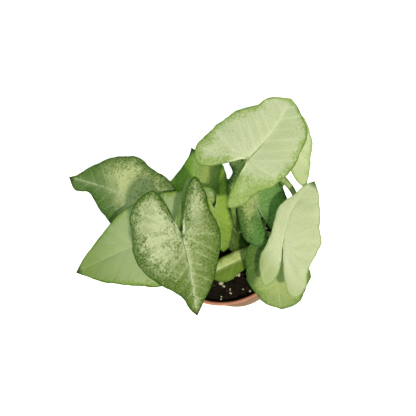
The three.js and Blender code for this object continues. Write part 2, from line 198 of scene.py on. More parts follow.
scene = bpy.context.scene
scene.view_settings.view_transform = "Standard"
studio_white = Recipe("white_floor").set(
    Base_Color="#F4F4F2", Roughness=0.9, Emission_Color="#FFFFFF", Emission_Strength=0.8
)
half_floor = FLOOR_SIZE / 2
corners = [(-half_floor, -half_floor), (half_floor, -half_floor)]
corners += [(half_floor, half_floor), (-half_floor, half_floor)]
corners = [(x, y, z) for z in (0, BACKDROP_HEIGHT) for x, y in corners]
walls = [(1, 0, 4, 5), (2, 1, 5, 6), (3, 2, 6, 7), (0, 3, 7, 4)]
for name, faces in (("floor", [(0, 1, 2, 3)]), ("backdrop", walls)):
    sheet = bpy.data.meshes.new(name)
    sheet.from_pydata(corners, [], faces)
    sheet.materials.append(studio_white)
    sheet = bpy.data.objects.new(name, sheet)
    scene.collection.objects.link(sheet)
    sheet.visible_diffuse = False
    sheet.visible_glossy = False
    sheet.visible_shadow = name == "floor"
print("floor in metres:", FLOOR_SIZE, "x", FLOOR_SIZE)

# %% [markdown]
# ## Light
#
# One broad warm lamp, high up and a little to the right of the camera, draws the soft shadows
# that the leaves cast on each other; a pale sky all round fills them. A lamp that is very far
# away lights every leaf alike, so a sun lamp with a wide disc is the simplest broad source.

# %% Lamp and sky
LAMP_TURN = math.radians(5)
LAMP_HEIGHT_ANGLE = math.radians(57)
LAMP_DISC = math.radians(3)
LAMP_STRENGTH = 2.1
SKY_STRENGTH = 0.6

lamp_data = bpy.data.lights.new("lamp", "SUN")
lamp_data.energy = LAMP_STRENGTH
lamp_data.angle = LAMP_DISC
lamp_data.color = tone("#FFF3DF")[:3]
lamp = bpy.data.objects.new("lamp", lamp_data)
flat_share = math.cos(LAMP_HEIGHT_ANGLE)
lamp_way = (math.sin(LAMP_TURN) * flat_share, -math.cos(LAMP_TURN) * flat_share)
lamp_way = Vector((*lamp_way, math.sin(LAMP_HEIGHT_ANGLE)))
lamp.rotation_euler = lamp_way.to_track_quat("Z", "Y").to_euler()
lamp.location = lamp_way
scene.collection.objects.link(lamp)

sky = bpy.data.worlds.new("sky")
sky.use_nodes = True
sky_inputs = sky.node_tree.nodes["Background"].inputs
sky_inputs["Color"].default_value = tone("#CAE4C0")
sky_inputs["Strength"].default_value = SKY_STRENGTH
scene.world = sky
print("lamp direction:", [round(part, 2) for part in lamp_way])

# %% [markdown]
# ## Surfaces from grids
#
# A leaf, a stalk and the soil can each be drawn as a grid of points that follows the form. The
# grid holds point numbers, so two edges that meet share the same numbers and the skin is
# closed there. Whole arrays go into Blender at once, which takes a fraction of a second.

# %% Grids and pieces
def grid_triangles(numbers):
    """Two triangles for each cell of a grid of point numbers; cells shrunk to a line get none."""
    a, b = numbers[:-1, :-1].ravel(), numbers[:-1, 1:].ravel()
    c, d = numbers[1:, :-1].ravel(), numbers[1:, 1:].ravel()
    triangles = np.concatenate([np.stack([a, b, d], 1), np.stack([a, d, c], 1)])
    p, q, r = triangles.T
    return triangles[(p != q) & (q != r) & (r != p)]


def add_piece(name, points, triangles, material, measures=None):
    """A smooth mesh object at the origin from points in millimetres; unused points are left out."""
    used, corners = np.unique(triangles, return_inverse=True)
    mesh = bpy.data.meshes.new(name)
    mesh.from_pydata(points[used] * MM, [], corners.reshape(-1, 3))
    mesh.shade_smooth()
    for measure, values in (measures or {}).items():
        store = mesh.attributes.new(measure, "FLOAT_VECTOR", "POINT")
        store.data.foreach_set("vector", values[used].astype(np.float32).ravel())
    mesh.materials.append(material)
    piece = bpy.data.objects.new(name, mesh)
    scene.collection.objects.link(piece)
    print(f"{name}: {len(triangles)} triangles")
    return piece


def place_piece(piece, slot, *nodes):
    """The piece moves with the plant's one body, and stands for these nodes."""
    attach(piece, "root")
    if nodes:
        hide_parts(*nodes)


print("triangles of a grid of 3 by 4 points:", len(grid_triangles(np.arange(12).reshape(3, 4))))

# %% [markdown]
# ## The leaves' measures
#
# An arrowhead leaf has one long blade in front of its stalk and two lobes behind, with a notch
# between them. The same few measures that shaped the plain solids shape the fine blades, so
# both agree: where stalk and blade meet, how the blade is turned, its half widths at fixed
# shares of its length, and how it folds, curls, droops and waves.

# %% The leaves' measures
SHOOTS = {"left": (-5, 26), "middle": (15.5, 2), "right": (26, -12)}
RIGHT, LEFT = 0, 1

# at: place of the joint. turn, dip, lean: compass direction of the tip, slope down towards the
# tip and towards the right side, in degrees. length: joint to tip. In pairs, right side first:
# lobes and outset (length of the lobes, and how far out they end), widths (half widths) and
# curl (how far each half bends down again). fold: angle at the midrib. droop, hook, bend, sag:
# bend of the midrib, of its tip, sideways, and of the lobes. cut: how late the notch opens.
# wave: height, number and phase of edge waves. neck, stalk, via: angle, radius and way of the
# stalk. A leaf that names no lean, fold, curl, hook, bend, sag or cut has the usual one.
USUAL_LEAF = dict(lean=0, fold=8, curl=(20, 20), hook=0, bend=0, sag=0, cut=1.7)
LEAVES = {
    "front": dict(
        at=(-24.8, -8.1, 165), turn=256, dip=26, lean=-31, length=61.8, lobes=(38.4, 39.7),
        outset=(15.9, 18.9), widths=((6.2, 11.9, 28.4, 39.6, 36.7), (5.3, 14.3, 23.2, 30.7, 26.1)),
        fold=12, curl=(25, 25), droop=15, bend=2, sag=-8, cut=1.25, wave=(0.8, 3.5, 0.3),
        shoot="left", neck=40, stalk=1.8,
        via=[
            (-4, 34, 108), (-1, 43, 125), (-3, 39, 138), (-9, 28, 149), (-17, 15, 157),
            (-23, 3, 162),
        ],
    ),
    "upper": dict(
        at=(40.8, 11.1, 192), turn=16.4, dip=1, lean=10, length=55.5, lobes=(32.9, 27.6),
        outset=(15.7, 21.1), widths=((9.8, 21.6, 25.7, 28.2, 22.8), (13, 18.8, 28, 32.5, 33.1)),
        fold=12, curl=(25, 25), droop=-9, hook=27, bend=-24.6, sag=5, cut=0.9, wave=(1.1, 4, 1.2),
        shoot="middle", neck=70, stalk=1.9, via=[(15.4, 2, 112), (19.2, 4.6, 140), (33, 11, 176)],
    ),
    "right": dict(
        at=(37.1, -44.2, 150), turn=58.2, dip=-22, lean=-27, length=54.6, lobes=(37.1, 31.9),
        outset=(9.5, 14.3), widths=((10.4, 19.1, 26, 30.6, 21.7), (3.1, 5.2, 11.2, 10.8, 20.2)),
        fold=4, curl=(9, 9), droop=45, bend=30, sag=5, cut=2.8, wave=(0.7, 3, 0.5),
        shoot="right", neck=75, stalk=1.7, via=[(27, -15, 108), (33.9, -27, 131), (36.6, -38, 144)],
    ),
    "left_back": dict(
        at=(-41, 49, 111), turn=127, dip=4, lean=-16, length=77, lobes=(18, 31),
        outset=(17, 18), widths=((4, 15, 26, 33, 27), (9, 8, 19, 31, 28)),
        fold=10, curl=(25, 30), droop=-4, bend=-8, sag=5, wave=(1, 3, 0),
        shoot="left", neck=40, stalk=1.6, via=[(-20, 33, 100)],
    ),
    "left_front": dict(
        at=(-37, 11, 134), turn=174, dip=-2, lean=12, length=77, lobes=(49, 38),
        outset=(18, 18), widths=((9, 19, 32, 40, 34), (9, 21, 31, 41, 35)),
        droop=12, bend=1, sag=5, wave=(0.8, 3, 0.8),
        shoot="left", neck=55, stalk=1.7, via=[(-18, 20, 108)],
    ),
    "low_right": dict(
        at=(28, -42, 120), turn=251, dip=44, lean=6, length=63, lobes=(16, 18),
        outset=(11, 12), widths=((3, 13, 18, 24, 22), (4, 14, 19, 26, 22)),
        curl=(25, 25), droop=30, hook=20, bend=9, sag=5, wave=(0.8, 3, 0.4),
        shoot="right", neck=90, stalk=1.5, via=[(26, -28, 103)],
    ),
    "back_right": dict(
        at=(75, 27, 150), turn=60, dip=9, lean=5, length=46, lobes=(37, 35),
        outset=(17, 15), widths=((3, 10, 17, 21, 20), (3, 10, 17, 20, 18)),
        droop=15, wave=(0.6, 3, 1),
        shoot="right", neck=60, stalk=1.5, via=[(40, -3, 104), (62, 12, 124)],
    ),
    "back": dict(
        at=(1.9, 51.1, 104), turn=66.3, dip=6, lean=-10, length=35.8, lobes=(22, 20),
        outset=(10, 10), widths=((3, 12, 21, 25, 20), (1.7, 5.4, 12.4, 23.4, 23)),
        droop=12, bend=-17, cut=1.2, wave=(0.6, 3, 0.2),
        shoot="left", neck=45, stalk=1.3, via=[(-2, 36, 94)],
    ),
    "middle": dict(
        at=(5, 12, 132), turn=249, dip=39, lean=14, length=39, lobes=(11, 34),
        outset=(4, 13), widths=((4, 7, 7, 7, 6), (6, 10, 13, 12, 14)),
        droop=15, cut=0.8, wave=(0.6, 3, 0.6),
        shoot="left", neck=105, stalk=1.4, via=[(2, 22, 110)],
    ),
    "inner_right": dict(
        at=(34.5, 0, 130), turn=87.3, dip=7, length=53.3, lobes=(38, 35),
        outset=(9, 5), widths=((3, 11, 20, 25, 22), (7.6, 7.3, 17, 14.5, 19)),
        droop=12, bend=11, cut=2.2, wave=(0.7, 3, 0.9),
        shoot="right", neck=60, stalk=1.6, via=[(30, -9, 108)],
    ),
    "low_front": dict(
        at=(12, -24, 98), turn=175, dip=6, lean=4, length=40, lobes=(9, 8),
        outset=(6, 4), widths=((3, 6, 8, 9, 8), (3, 8, 12, 11, 8)),
        fold=12, curl=(30, 30), droop=12, cut=1.4, wave=(0.6, 3, 0.4),
        shoot="right", neck=60, stalk=1.3, via=[(20, -18, 92)],
    ),
    "low_middle": dict(
        at=(11, 11, 97), turn=104, dip=-4, length=23, lobes=(9, 29),
        outset=(7, 1.5), widths=((3, 6, 8, 9, 9), (2, 6, 11, 14, 15)),
        fold=12, curl=(25, 25), droop=10, sag=5, cut=0.6, wave=(0.5, 3, 0.4),
        shoot="middle", neck=60, stalk=1.2, via=[],
    ),
    "young": dict(
        at=(61, 4, 140), turn=-62, dip=5, length=21, lobes=(5, 9),
        outset=(2, 6), widths=((1, 1.6, 2, 2, 2), (1, 1.8, 2.2, 2.6, 4)),
        fold=15, curl=(30, 30), droop=30, bend=45, wave=(0.2, 3, 0.4),
        shoot="right", neck=80, stalk=0.9, via=[(40, -2, 102), (55, 8, 112), (61, 7, 124)],
    ),
}
LEAVES = {name: {**USUAL_LEAF, **leaf} for name, leaf in LEAVES.items()}
print("longest blade in mm:", max(leaf["length"] + max(leaf["lobes"]) for leaf in LEAVES.values()))

# %% [markdown]
# ## The outline of a blade
#
# A margin could be drawn point by point. A rule is better here, because it serves all thirteen
# leaves: a smooth curve runs through the half widths, a quarter ellipse rounds off each lobe,
# and the notch opens by a power of the way back along the lobe.

# %% Outline of a blade
STATIONS = np.array([0, 0.08, 0.2, 0.35, 0.55, 0.8])


def cubic(t, start, end, start_slope, end_slope):
    """Goes from start to end while t goes from 0 to 1, with the given slopes at both."""
    rise = end - start
    bend = 3 * rise - 2 * start_slope - end_slope
    return start + start_slope * t + bend * t**2 + (start_slope + end_slope - 2 * rise) * t**3


def half_width(share, widths, outset):
    """Half width at a share of the way from tip to lobe end: a cubic through the stations,
    whose slope at each is that between its neighbours, then a quarter ellipse to the outset."""
    values = np.array([0, *widths], float)
    slopes = np.zeros(len(values))
    slopes[0] = (values[1] - values[0]) / (STATIONS[1] - STATIONS[0])
    slopes[1:-1] = (values[2:] - values[:-2]) / (STATIONS[2:] - STATIONS[:-2])
    k = np.clip(np.searchsorted(STATIONS, share, side="right") - 1, 0, len(STATIONS) - 2)
    span = STATIONS[k + 1] - STATIONS[k]
    t = np.clip((share - STATIONS[k]) / span, 0, 1)
    body = cubic(t, values[k], values[k + 1], span * slopes[k], span * slopes[k + 1])
    v = np.clip((share - STATIONS[-1]) / (1 - STATIONS[-1]), 0, 1)
    lobe = outset + (values[-1] - outset) * np.sqrt(1 - v * v)
    return np.where(share < STATIONS[-1], body, lobe)


def notch_width(share, outset, cut):
    """Distance of the notch's edge from the midrib line at a share of the lobe's length."""
    opening = 1 - (1 - np.clip(share, 0, 1) ** cut) ** 0.6
    return outset * (0.06 * np.minimum(1, 8 * share) * (1 - share) + opening)


front = LEAVES["front"]
front_width = half_width(0.5, front["widths"][RIGHT], front["outset"][RIGHT])
print("right half of the front leaf, half way, in mm:", round(float(front_width), 1))

# %% [markdown]
# ## The bent middle surface
#
# The outline is flat. The blade is not: its midrib droops towards the tip, both halves rise
# from the midrib like an open book and bend down again, and the edge waves. Each of these is
# an arc, so a point that is so far along and so far out lands in space by a short sum.

# %% Axes and midrib
MIDRIB_STEPS = 40


def blade_axes(leaf):
    """The blade's own directions: right, towards the tip, and out of its upper face."""
    turn, dip, lean = (math.radians(leaf[name]) for name in ("turn", "dip", "lean"))
    ahead = np.array([math.cos(turn), math.sin(turn), 0])
    tip = math.cos(dip) * ahead - math.sin(dip) * np.array([0, 0, 1])
    level = math.sin(dip) * ahead + math.cos(dip) * np.array([0, 0, 1])
    side = np.cross(tip, level)
    right = math.cos(lean) * side - math.sin(lean) * level
    face = math.cos(lean) * level + math.sin(lean) * side
    return right, tip, face


def midrib(leaf, along):
    """How far ahead, aside and down the midrib line is at a distance along it, with its pitch
    and yaw there. Towards the tip both angles grow with the distance and the small steps are
    added up; over the lobes the line is one arc."""
    droop, hook, bend = (math.radians(leaf[name]) for name in ("droop", "hook", "bend"))
    end = np.maximum(along, 0) / leaf["length"]
    u = end[..., None] * (np.arange(MIDRIB_STEPS) + 0.5) / MIDRIB_STEPS
    pitch = droop * u + hook * u**4
    yaw = bend * u
    step = np.maximum(along, 0)[..., None] / MIDRIB_STEPS
    ahead = (step * np.cos(pitch) * np.cos(yaw)).sum(-1)
    aside = (step * np.cos(pitch) * np.sin(yaw)).sum(-1)
    down = (step * np.sin(pitch)).sum(-1)
    rate = math.radians(leaf["sag"] or 1e-4) / (sum(leaf["lobes"]) / 2)
    angle = rate * np.maximum(-along, 0)
    ahead = ahead - np.sin(angle) / rate
    down = down + (1 - np.cos(angle)) / rate
    return ahead, aside, down, droop * end + hook * end**4 - angle, bend * end


front_tip = midrib(front, np.array([front["length"]]))[:3]
print("front leaf's tip, ahead, aside and down in mm:", [round(part.item()) for part in front_tip])

# %% Points of a bent blade
def blade_points(leaf, out, along, half):
    """Points in space: out from the midrib in one half of the blade, and along the midrib."""
    right, tip, face = blade_axes(leaf)
    side = 1 if half == RIGHT else -1
    widest = max(leaf["widths"][half])
    fold = math.radians(leaf["fold"])
    rate = math.radians(leaf["curl"][half]) / widest
    height, count, phase = leaf["wave"]
    share = (leaf["length"] - along) / (leaf["length"] + leaf["lobes"][half])
    wave = np.sin(2 * np.pi * count * share + phase + 1.9 * half) * np.sin(np.pi * share)
    lift = (np.cos(fold - rate * out) - math.cos(fold)) / rate + height * (out / widest) ** 2 * wave
    sideways = side * (math.sin(fold) - np.sin(fold - rate * out)) / rate
    ahead, aside, down, pitch, yaw = (part[..., None] for part in midrib(leaf, along))
    heading = tip * np.cos(yaw) + right * np.sin(yaw)
    across = right * np.cos(yaw) - tip * np.sin(yaw)
    upward = face * np.cos(pitch) + heading * np.sin(pitch)
    base = np.array(leaf["at"]) + tip * ahead + right * aside - face * down
    return base + across * sideways[..., None] + upward * lift[..., None]


front_tip = blade_points(front, np.zeros((1, 1)), np.full((1, 1), front["length"]), RIGHT)
print("front leaf's tip in mm:", front_tip.ravel().round(1).tolist())

# %% [markdown]
# ## Veins
#
# Side veins leave the midrib at a steep angle and sweep forward; the lowest ones all fan out
# from the joint, back into the lobes. They could be drawn as lines, but then each would need
# its own mesh. Instead every point gets a vein number that counts up from one vein to the
# next, so a vein runs wherever the number is whole. Relief and colour both read it.

# %% Veins
FIRST_VEIN_ANGLE = math.radians(58)
VEIN_SWEEP = 0.22
VEINS_ALONG = (6.0, 6.7)
VEINS_TO_COSTA = 3


def vein_numbers(leaf, out, along, half):
    """The vein number, the distance between two veins there, and the distance from the lobe's
    own main vein. In front of the first vein the number counts how far up the midrib a vein
    starts; behind it, it counts the angle round the joint."""
    widths = leaf["widths"][half]
    sweep = VEIN_SWEEP / max(widths)
    spacing = leaf["length"] / VEINS_ALONG[half]
    slope = 1 / math.tan(FIRST_VEIN_ANGLE) + 2 * sweep * out
    start = along - out / math.tan(FIRST_VEIN_ANGLE) - sweep * out**2
    straight = along - sweep * out**2
    reach = np.hypot(out, straight)
    angle = np.arctan2(out, straight)
    costa_out = 0.45 * widths[-1] + 0.1 * leaf["outset"][half]
    costa_angle = math.atan2(costa_out, -leaf["lobes"][half] / 2)
    step = (costa_angle - FIRST_VEIN_ANGLE) / VEINS_TO_COSTA
    number = np.where(start >= 0, start / spacing, (FIRST_VEIN_ANGLE - angle) / step)
    gap = np.where(start >= 0, spacing / np.hypot(1, slope), reach * step)
    costa = np.where(angle > FIRST_VEIN_ANGLE, reach * np.sin(angle - costa_angle), reach)
    return np.stack([number.ravel(), gap.ravel(), costa.ravel()], 1)


number, gap, _ = vein_numbers(front, np.array([10.0]), np.array([30.0]), RIGHT)[0].round(1)
print("10 mm out and 30 mm along, the vein number is", number, "and the gap", gap, "mm")

# %% [markdown]
# ## A fine blade
#
# Both halves are grids that share the midrib. The tissue between two veins is puffed up a
# little, the midrib lies in a groove above and stands out as a ridge below, and the thin edge
# is rounded. The measures that the finish needs are kept on the mesh.

# %% Half a blade
ROWS = 84
LOBE_ROWS = 46
COLUMNS = 34
MARGIN_HEIGHTS = (0.3, 0.16, 0.1)
MARGIN_WAVES = (21, 10.3, 5.7)


def smooth(x, low, high):
    """0 below low, 1 above high, and a soft step between."""
    t = np.clip((x - low) / (high - low), 0, 1)
    return t * t * (3 - 2 * t)


def ripple(share, length, seed):
    """Small uneven waves of the outline, in mm, that die away at the tip and the lobe's end."""
    phases = np.random.default_rng(seed).uniform(0, 2 * np.pi, 3)
    waves = sum(
        height * np.sin(2 * np.pi * share * length / wave + phase)
        for height, wave, phase in zip(MARGIN_HEIGHTS, MARGIN_WAVES, phases)
    )
    return waves * smooth(share, 0, 0.1) * smooth(1 - share, 0, 0.1)


def half_grid(leaf, half, seed):
    """Rows from tip to lobe end, columns from midrib or notch to margin, closer at both edges.
    Gives each point's distance out and along, and the inner and outer edge of each row."""
    lobe, outset = leaf["lobes"][half], leaf["outset"][half]
    forward = leaf["length"] * (1 - np.linspace(0, 1, ROWS + 1) ** 1.25)
    back = -lobe * np.sin(np.pi / 2 * np.linspace(0, 1, LOBE_ROWS + 1)[1:])
    along = np.concatenate([forward, back])[:, None]
    share = (leaf["length"] - along) / (leaf["length"] + lobe)
    outer = half_width(share, leaf["widths"][half], outset)
    outer = outer + ripple(share, leaf["length"] + lobe, seed + half) * smooth(outer, 2, 8)
    inner = np.where(along < 0, notch_width(-along / lobe, outset, leaf["cut"]), 0)
    inner = np.minimum(inner, outer)
    width = outer - inner
    out = inner + width * np.linspace(0, 1, COLUMNS)[None] ** 1.35
    out = np.concatenate([out[:, :-1], outer - np.minimum(0.3, 0.02 * width), outer], 1)
    return out, np.broadcast_to(along, out.shape), inner, outer


print("points in half of the front leaf:", half_grid(front, RIGHT, 0)[0].size)

# %% Noise, normals and skin
LATTICE_KNOTS = 256


def lattice_noise(x, y, cell, seed):
    """Random heights on a square lattice, blended softly between its four nearest knots."""
    knots = np.random.default_rng(seed).uniform(-1, 1, (LATTICE_KNOTS, LATTICE_KNOTS))
    u, v = x / cell + LATTICE_KNOTS / 2, y / cell + LATTICE_KNOTS / 2
    i, j = (np.floor(part).astype(int) % (LATTICE_KNOTS - 1) for part in (u, v))
    s, t = (smooth(part - np.floor(part), 0, 1) for part in (u, v))
    low = knots[i, j] * (1 - s) + knots[i + 1, j] * s
    high = knots[i, j + 1] * (1 - s) + knots[i + 1, j + 1] * s
    return low * (1 - t) + high * t


def point_normals(points, triangles):
    """At each point, the sum of its triangles' cross products, brought to length 1."""
    p, q, r = (points[triangles[:, k]] for k in range(3))
    crosses = np.cross(q - p, r - p)
    normals = np.zeros_like(points)
    for k in range(3):
        np.add.at(normals, triangles[:, k], crosses)
    return normals / np.maximum(np.linalg.norm(normals, axis=1, keepdims=True), 1e-12)


def nearest(x, y, line_x, line_y):
    """Distance from each point to the nearest point of a line."""
    return np.sqrt(((x[:, None] - line_x) ** 2 + (y[:, None] - line_y) ** 2).min(1))


def triangle_sides(triangles):
    """The three sides of every triangle, each from one point number to the next."""
    return np.concatenate([triangles[:, [0, 1]], triangles[:, [1, 2]], triangles[:, [2, 0]]])


def skin(middle, triangles, above, below):
    """A closed skin round an open middle surface: its upper side, its lower side turned over,
    and a rim along every side that belongs to one triangle only."""
    count = len(middle)
    sides = triangle_sides(triangles).astype(np.int64)
    a, b = sides[~np.isin(sides[:, 0] * count + sides[:, 1], sides[:, 1] * count + sides[:, 0])].T
    rim = np.concatenate([np.stack([b, a, a + count], 1), np.stack([b, a + count, b + count], 1)])
    points = np.concatenate([middle + above, middle - below])
    return points, np.concatenate([triangles, triangles[:, ::-1] + count, rim])


square_skin = skin(np.zeros((4, 3)), np.array([(0, 1, 2), (0, 2, 3)]), 0.1, 0.1)
print("triangles of a skin round a square:", len(square_skin[1]))

# %% A fine blade
HALF_THICKNESS = 0.3
EDGE_THICKNESS = 0.17
PUFF = 0.02
QUILT = ((16, 0.5), (8, 0.2))
MIDRIB_GROOVE = 0.2
MIDRIB_RIDGE = 0.8
COSTA_RIDGE = 0.6


def fine_blade(name, leaf):
    """Makes the closed mesh of one blade and stores its measures: margin = distance from the
    margin, from the notch's edge and from the joint; vein = vein number, gap and distance from
    the lobe's main vein; flat = place on the flat blade, and 1 above or 0 below."""
    rows, columns = ROWS + 1 + LOBE_ROWS, COLUMNS + 1
    numbers = np.arange(2 * rows * columns).reshape(2, rows, columns)
    numbers[1, : ROWS + 1, 0] = numbers[0, : ROWS + 1, 0]
    numbers[:, 0, :] = numbers[0, 0, 0]
    numbers[:, -1, :] = numbers[:, -1, :1]
    triangles = np.concatenate([grid_triangles(numbers[0])[:, ::-1], grid_triangles(numbers[1])])

    seed = sum(name.encode())
    halves = [half_grid(leaf, half, seed) for half in (RIGHT, LEFT)]
    places = [(leaf, out, along, half) for half, (out, along, _, _) in enumerate(halves)]
    middle = np.concatenate([blade_points(*place).reshape(-1, 3) for place in places])
    vein = np.concatenate([vein_numbers(*place) for place in places])
    out, y, inner, outer = (np.stack(parts) for parts in zip(*halves))
    sign = np.array([1, -1])[:, None, None]
    x, line_x, notch_x = (sign * out).ravel(), (sign * outer).ravel(), (sign * inner).ravel()
    out, y, line_y = out.ravel(), y.ravel(), y[:, :, 0].ravel()
    margin = nearest(x, y, line_x, line_y)
    notch = nearest(x, y, notch_x[line_y < 0], line_y[line_y < 0])
    joint = np.hypot(x, y)
    rib = np.where(y >= 0, out, joint)
    edge = np.minimum(margin, notch)

    puff = PUFF * np.minimum(vein[:, 1], 9) * (np.sin(np.pi * vein[:, 0]) ** 2 - 0.5)
    puff *= smooth(margin, 0.5, 5) * smooth(rib, 0.5, 4)
    quilt = sum(depth * lattice_noise(x, y, cell, seed) for cell, depth in QUILT)
    puff = puff + quilt * smooth(rib, 0, 6) * smooth(edge, 0, 5)
    middle = middle + point_normals(middle, triangles) * puff[:, None]
    normals = point_normals(middle, triangles)
    half_thickness = EDGE_THICKNESS + (HALF_THICKNESS - EDGE_THICKNESS) * smooth(edge, 0, 2.5)
    tipward = np.clip(y / leaf["length"], 0, 1)
    groove = MIDRIB_GROOVE * (1 - 0.7 * tipward) * np.exp(-((rib / 0.6) ** 2))
    ridge = MIDRIB_RIDGE * (1 - 0.75 * tipward) * np.exp(-((rib / 0.9) ** 2))
    costa = COSTA_RIDGE * np.exp(-((vein[:, 2] / 0.8) ** 2)) * smooth(margin, 4, 16) * (y < 2)
    above = half_thickness - groove * smooth(edge, 0, 2)
    below = half_thickness + np.maximum(ridge, costa) * smooth(edge, 0, 2)

    points, triangles = skin(
        middle, triangles, normals * above[:, None], normals * below[:, None]
    )
    flat = np.stack([x, y, np.ones(len(x))], 1)
    measures = {"margin": np.stack([margin, notch, joint], 1), "vein": vein}
    measures = {key: np.concatenate([values, values]) for key, values in measures.items()}
    return points, triangles, {**measures, "flat": np.concatenate([flat, flat * (1, 1, 0)])}


print("points on each side of a blade:", 2 * (ROWS + 1 + LOBE_ROWS) * (COLUMNS + 1))

# %% [markdown]
# ## The blades' tones
#
# No two leaves of a variegated plant are marked alike, and a leaf deep in the bunch is greener;
# its tones are also made darker, which paints the shade it lies in. One finish with noise could
# be left to vary by itself. Here each blade has its own row of tones and strengths instead, so a
# leaf can be corrected without touching the others.

# %% The blades' tones
# For each blade: the cream, green, dark and tip tones, and the length of the dark tip in mm;
# the width of the speckled band in mm and how many times wider it is on the lobes; how strong
# flecks, streaks and veins are; and a wash: its direction in degrees, where it starts and where
# it is full in mm, its strength and its tone. On the front, right, left_back, low_right and
# inner_right blades the wash is painted shade, darker where shade falls on that part of the
# leaf; on upper, back and low_front it is the leaf's own yellow-green part, and on left_front it
# darkens the end towards the tip.
Wash = namedtuple("Wash", "way low high strength tone")
Look = namedtuple("Look", "cream green dark tip tip_length band lobes speckle streak veins wash")
BLADE_LOOKS = {
    "front": (
        "#D2D7B8", "#547412", "#305408", "#4A3E14", 7,
        8.5, 0.52, 1.0, 0.8, 0.8, (132, -12, 18, 0.75, "#869654"),
    ),
    "upper": (
        "#CCD2BA", "#9AB260", "#5E7E26", "#A3B96E", 7,
        4.5, 1.7, 0.65, 0.5, 0.8, (-50, 6, 24, 0.6, "#A6BA6E"),
    ),
    "right": (
        "#E6E9CF", "#CAD4A4", "#6C9440", "#4F7A2E", 7,
        1.2, 1.3, 0.1, 0.8, 0.9, (-135, 6, 26, 0.85, "#B6C284"),
    ),
    "left_back": (
        "#CCD2A4", "#607C38", "#2A4812", "#1C3A16", 7,
        9, 1.8, 0.8, 0.6, 0.4, (135, 10, 36, 0.85, "#446C36"),
    ),
    "left_front": (
        "#B8C69C", "#90AA48", "#4C761C", "#2A4A1C", 7,
        3, 1.7, 0.8, 0.3, 0.1, (90, 25, 75, 0.8, "#76904E"),
    ),
    "low_right": (
        "#B6C182", "#7F9A48", "#3E6420", "#5E8A2C", 7,
        6, 1.6, 0.8, 0.6, 0.15, (-20, 5, 13, 0.95, "#2E5420"),
    ),
    "back_right": (
        "#E2E8C6", "#B8CA80", "#7D9C4C", "#7D9C4C", 7,
        2, 1.5, 0.2, 0.3, 0.2, (0, 0, 10, 0.0, "#BACC86"),
    ),
    "back": (
        "#A8B86C", "#5F8E26", "#2C5A1A", "#1E4A16", 12,
        6, 1.3, 0.8, 0.6, 0.2, (180, -6, 4, 0.9, "#8CB640"),
    ),
    "middle": (
        "#9AB64E", "#6C8C2C", "#3F661C", "#6F9030", 7,
        2, 1.3, 0.7, 0.9, 0.15, (0, 0, 10, 0.0, "#6C8C2C"),
    ),
    "inner_right": (
        "#BAC686", "#507A2E", "#2F5020", "#35601F", 7,
        5, 2.0, 0.9, 0.5, 0.25, (-35, -2, 4, 0.95, "#80AC66"),
    ),
    "low_front": (
        "#D2DE98", "#6E8A2C", "#547220", "#547220", 7,
        3, 1.3, 0.6, 0.5, 0.15, (180, -1, 3, 0.95, "#708C2C"),
    ),
    # painted shade: the low_middle blade's tones are darkened for the deep shade it lies in under
    # the other leaves
    "low_middle": (
        "#62802E", "#3E5C18", "#28420E", "#33501A", 7,
        5, 1.3, 0.6, 0.7, 0.25, (0, 0, 10, 0.0, "#33501A"),
    ),
    "young": (
        "#A9BE78", "#7C9C44", "#4F7526", "#4F7526", 7,
        2, 1.3, 0.6, 0.5, 0.2, (0, 0, 10, 0.0, "#7C9C44"),
    ),
}
BLADE_LOOKS = {name: Look(*row[:-1], Wash(*row[-1])) for name, row in BLADE_LOOKS.items()}
print("blades with tones of their own:", len(BLADE_LOOKS))

# %% [markdown]
# ## The blades' finish
#
# A white arrowhead leaf is cream to pale green in the middle. Green cells remain as a thin
# rim, as a speckled band inside it, as single flecks and as soft streaks between the veins;
# the veins themselves stay pale. On some leaves one part is greener than the rest by its own
# colour; on others a darker, greener part is painted shade, where shade falls on the leaf.
#
# Paint on a mesh would give them all one pattern. Noise against the distance from the margin
# gives every leaf its own, and each leaf only states its tones and how wide its band is.

# %% Measures for the blades' finish
PALE = "#E2E7CB"
UNDERSIDE = "#A9B98C"
CLOUD_SCALE = 45
COARSE_SCALE = 170
FINE_SCALE = 560
DOT_SCALE = 900
GRAIN_SCALE = 1300


class BladeRecipe(Recipe):
    """A recipe that has the blade's length, tones, measures and noises at hand. The edge is the
    margin or the notch's edge, whichever is nearer, but not the notch close to the joint."""

    def __init__(self, name, length, look):
        super().__init__(name)
        self.length, self.look = length, look
        self.margin, self.notch, self.joint = self.measure("margin")
        self.number, self.gap, self.costa = self.measure("vein")
        self.x, self.y, self.upper = self.measure("flat")
        self.edge = self.margin.at_most(self.notch + self.joint.rise(3, 14, 8, 0))
        self.coarse = self.noise(self.here, COARSE_SCALE, 2)
        self.fine = self.noise(self.here, FINE_SCALE, 4, 0.7, 0.3)
        self.dots = self.noise(self.here, DOT_SCALE, 2)


print("noise scales, coarse to fine:", CLOUD_SCALE, COARSE_SCALE, FINE_SCALE, DOT_SCALE)

# %% Wash, streaks and green band
HALVES_APART = 7.3  # far enough in the noise that the streaks of both halves differ


# On the front, right, left_back, low_right and inner_right blades this wash is painted shade.
def wash_and_shade_share(blade):
    """The distance over the flat blade in the wash's direction, as a rise from 0 to 1."""
    way = math.radians(blade.look.wash.way)
    reached = blade.x * math.cos(way) + blade.y * math.sin(way)
    return reached.rise(blade.look.wash.low, blade.look.wash.high)


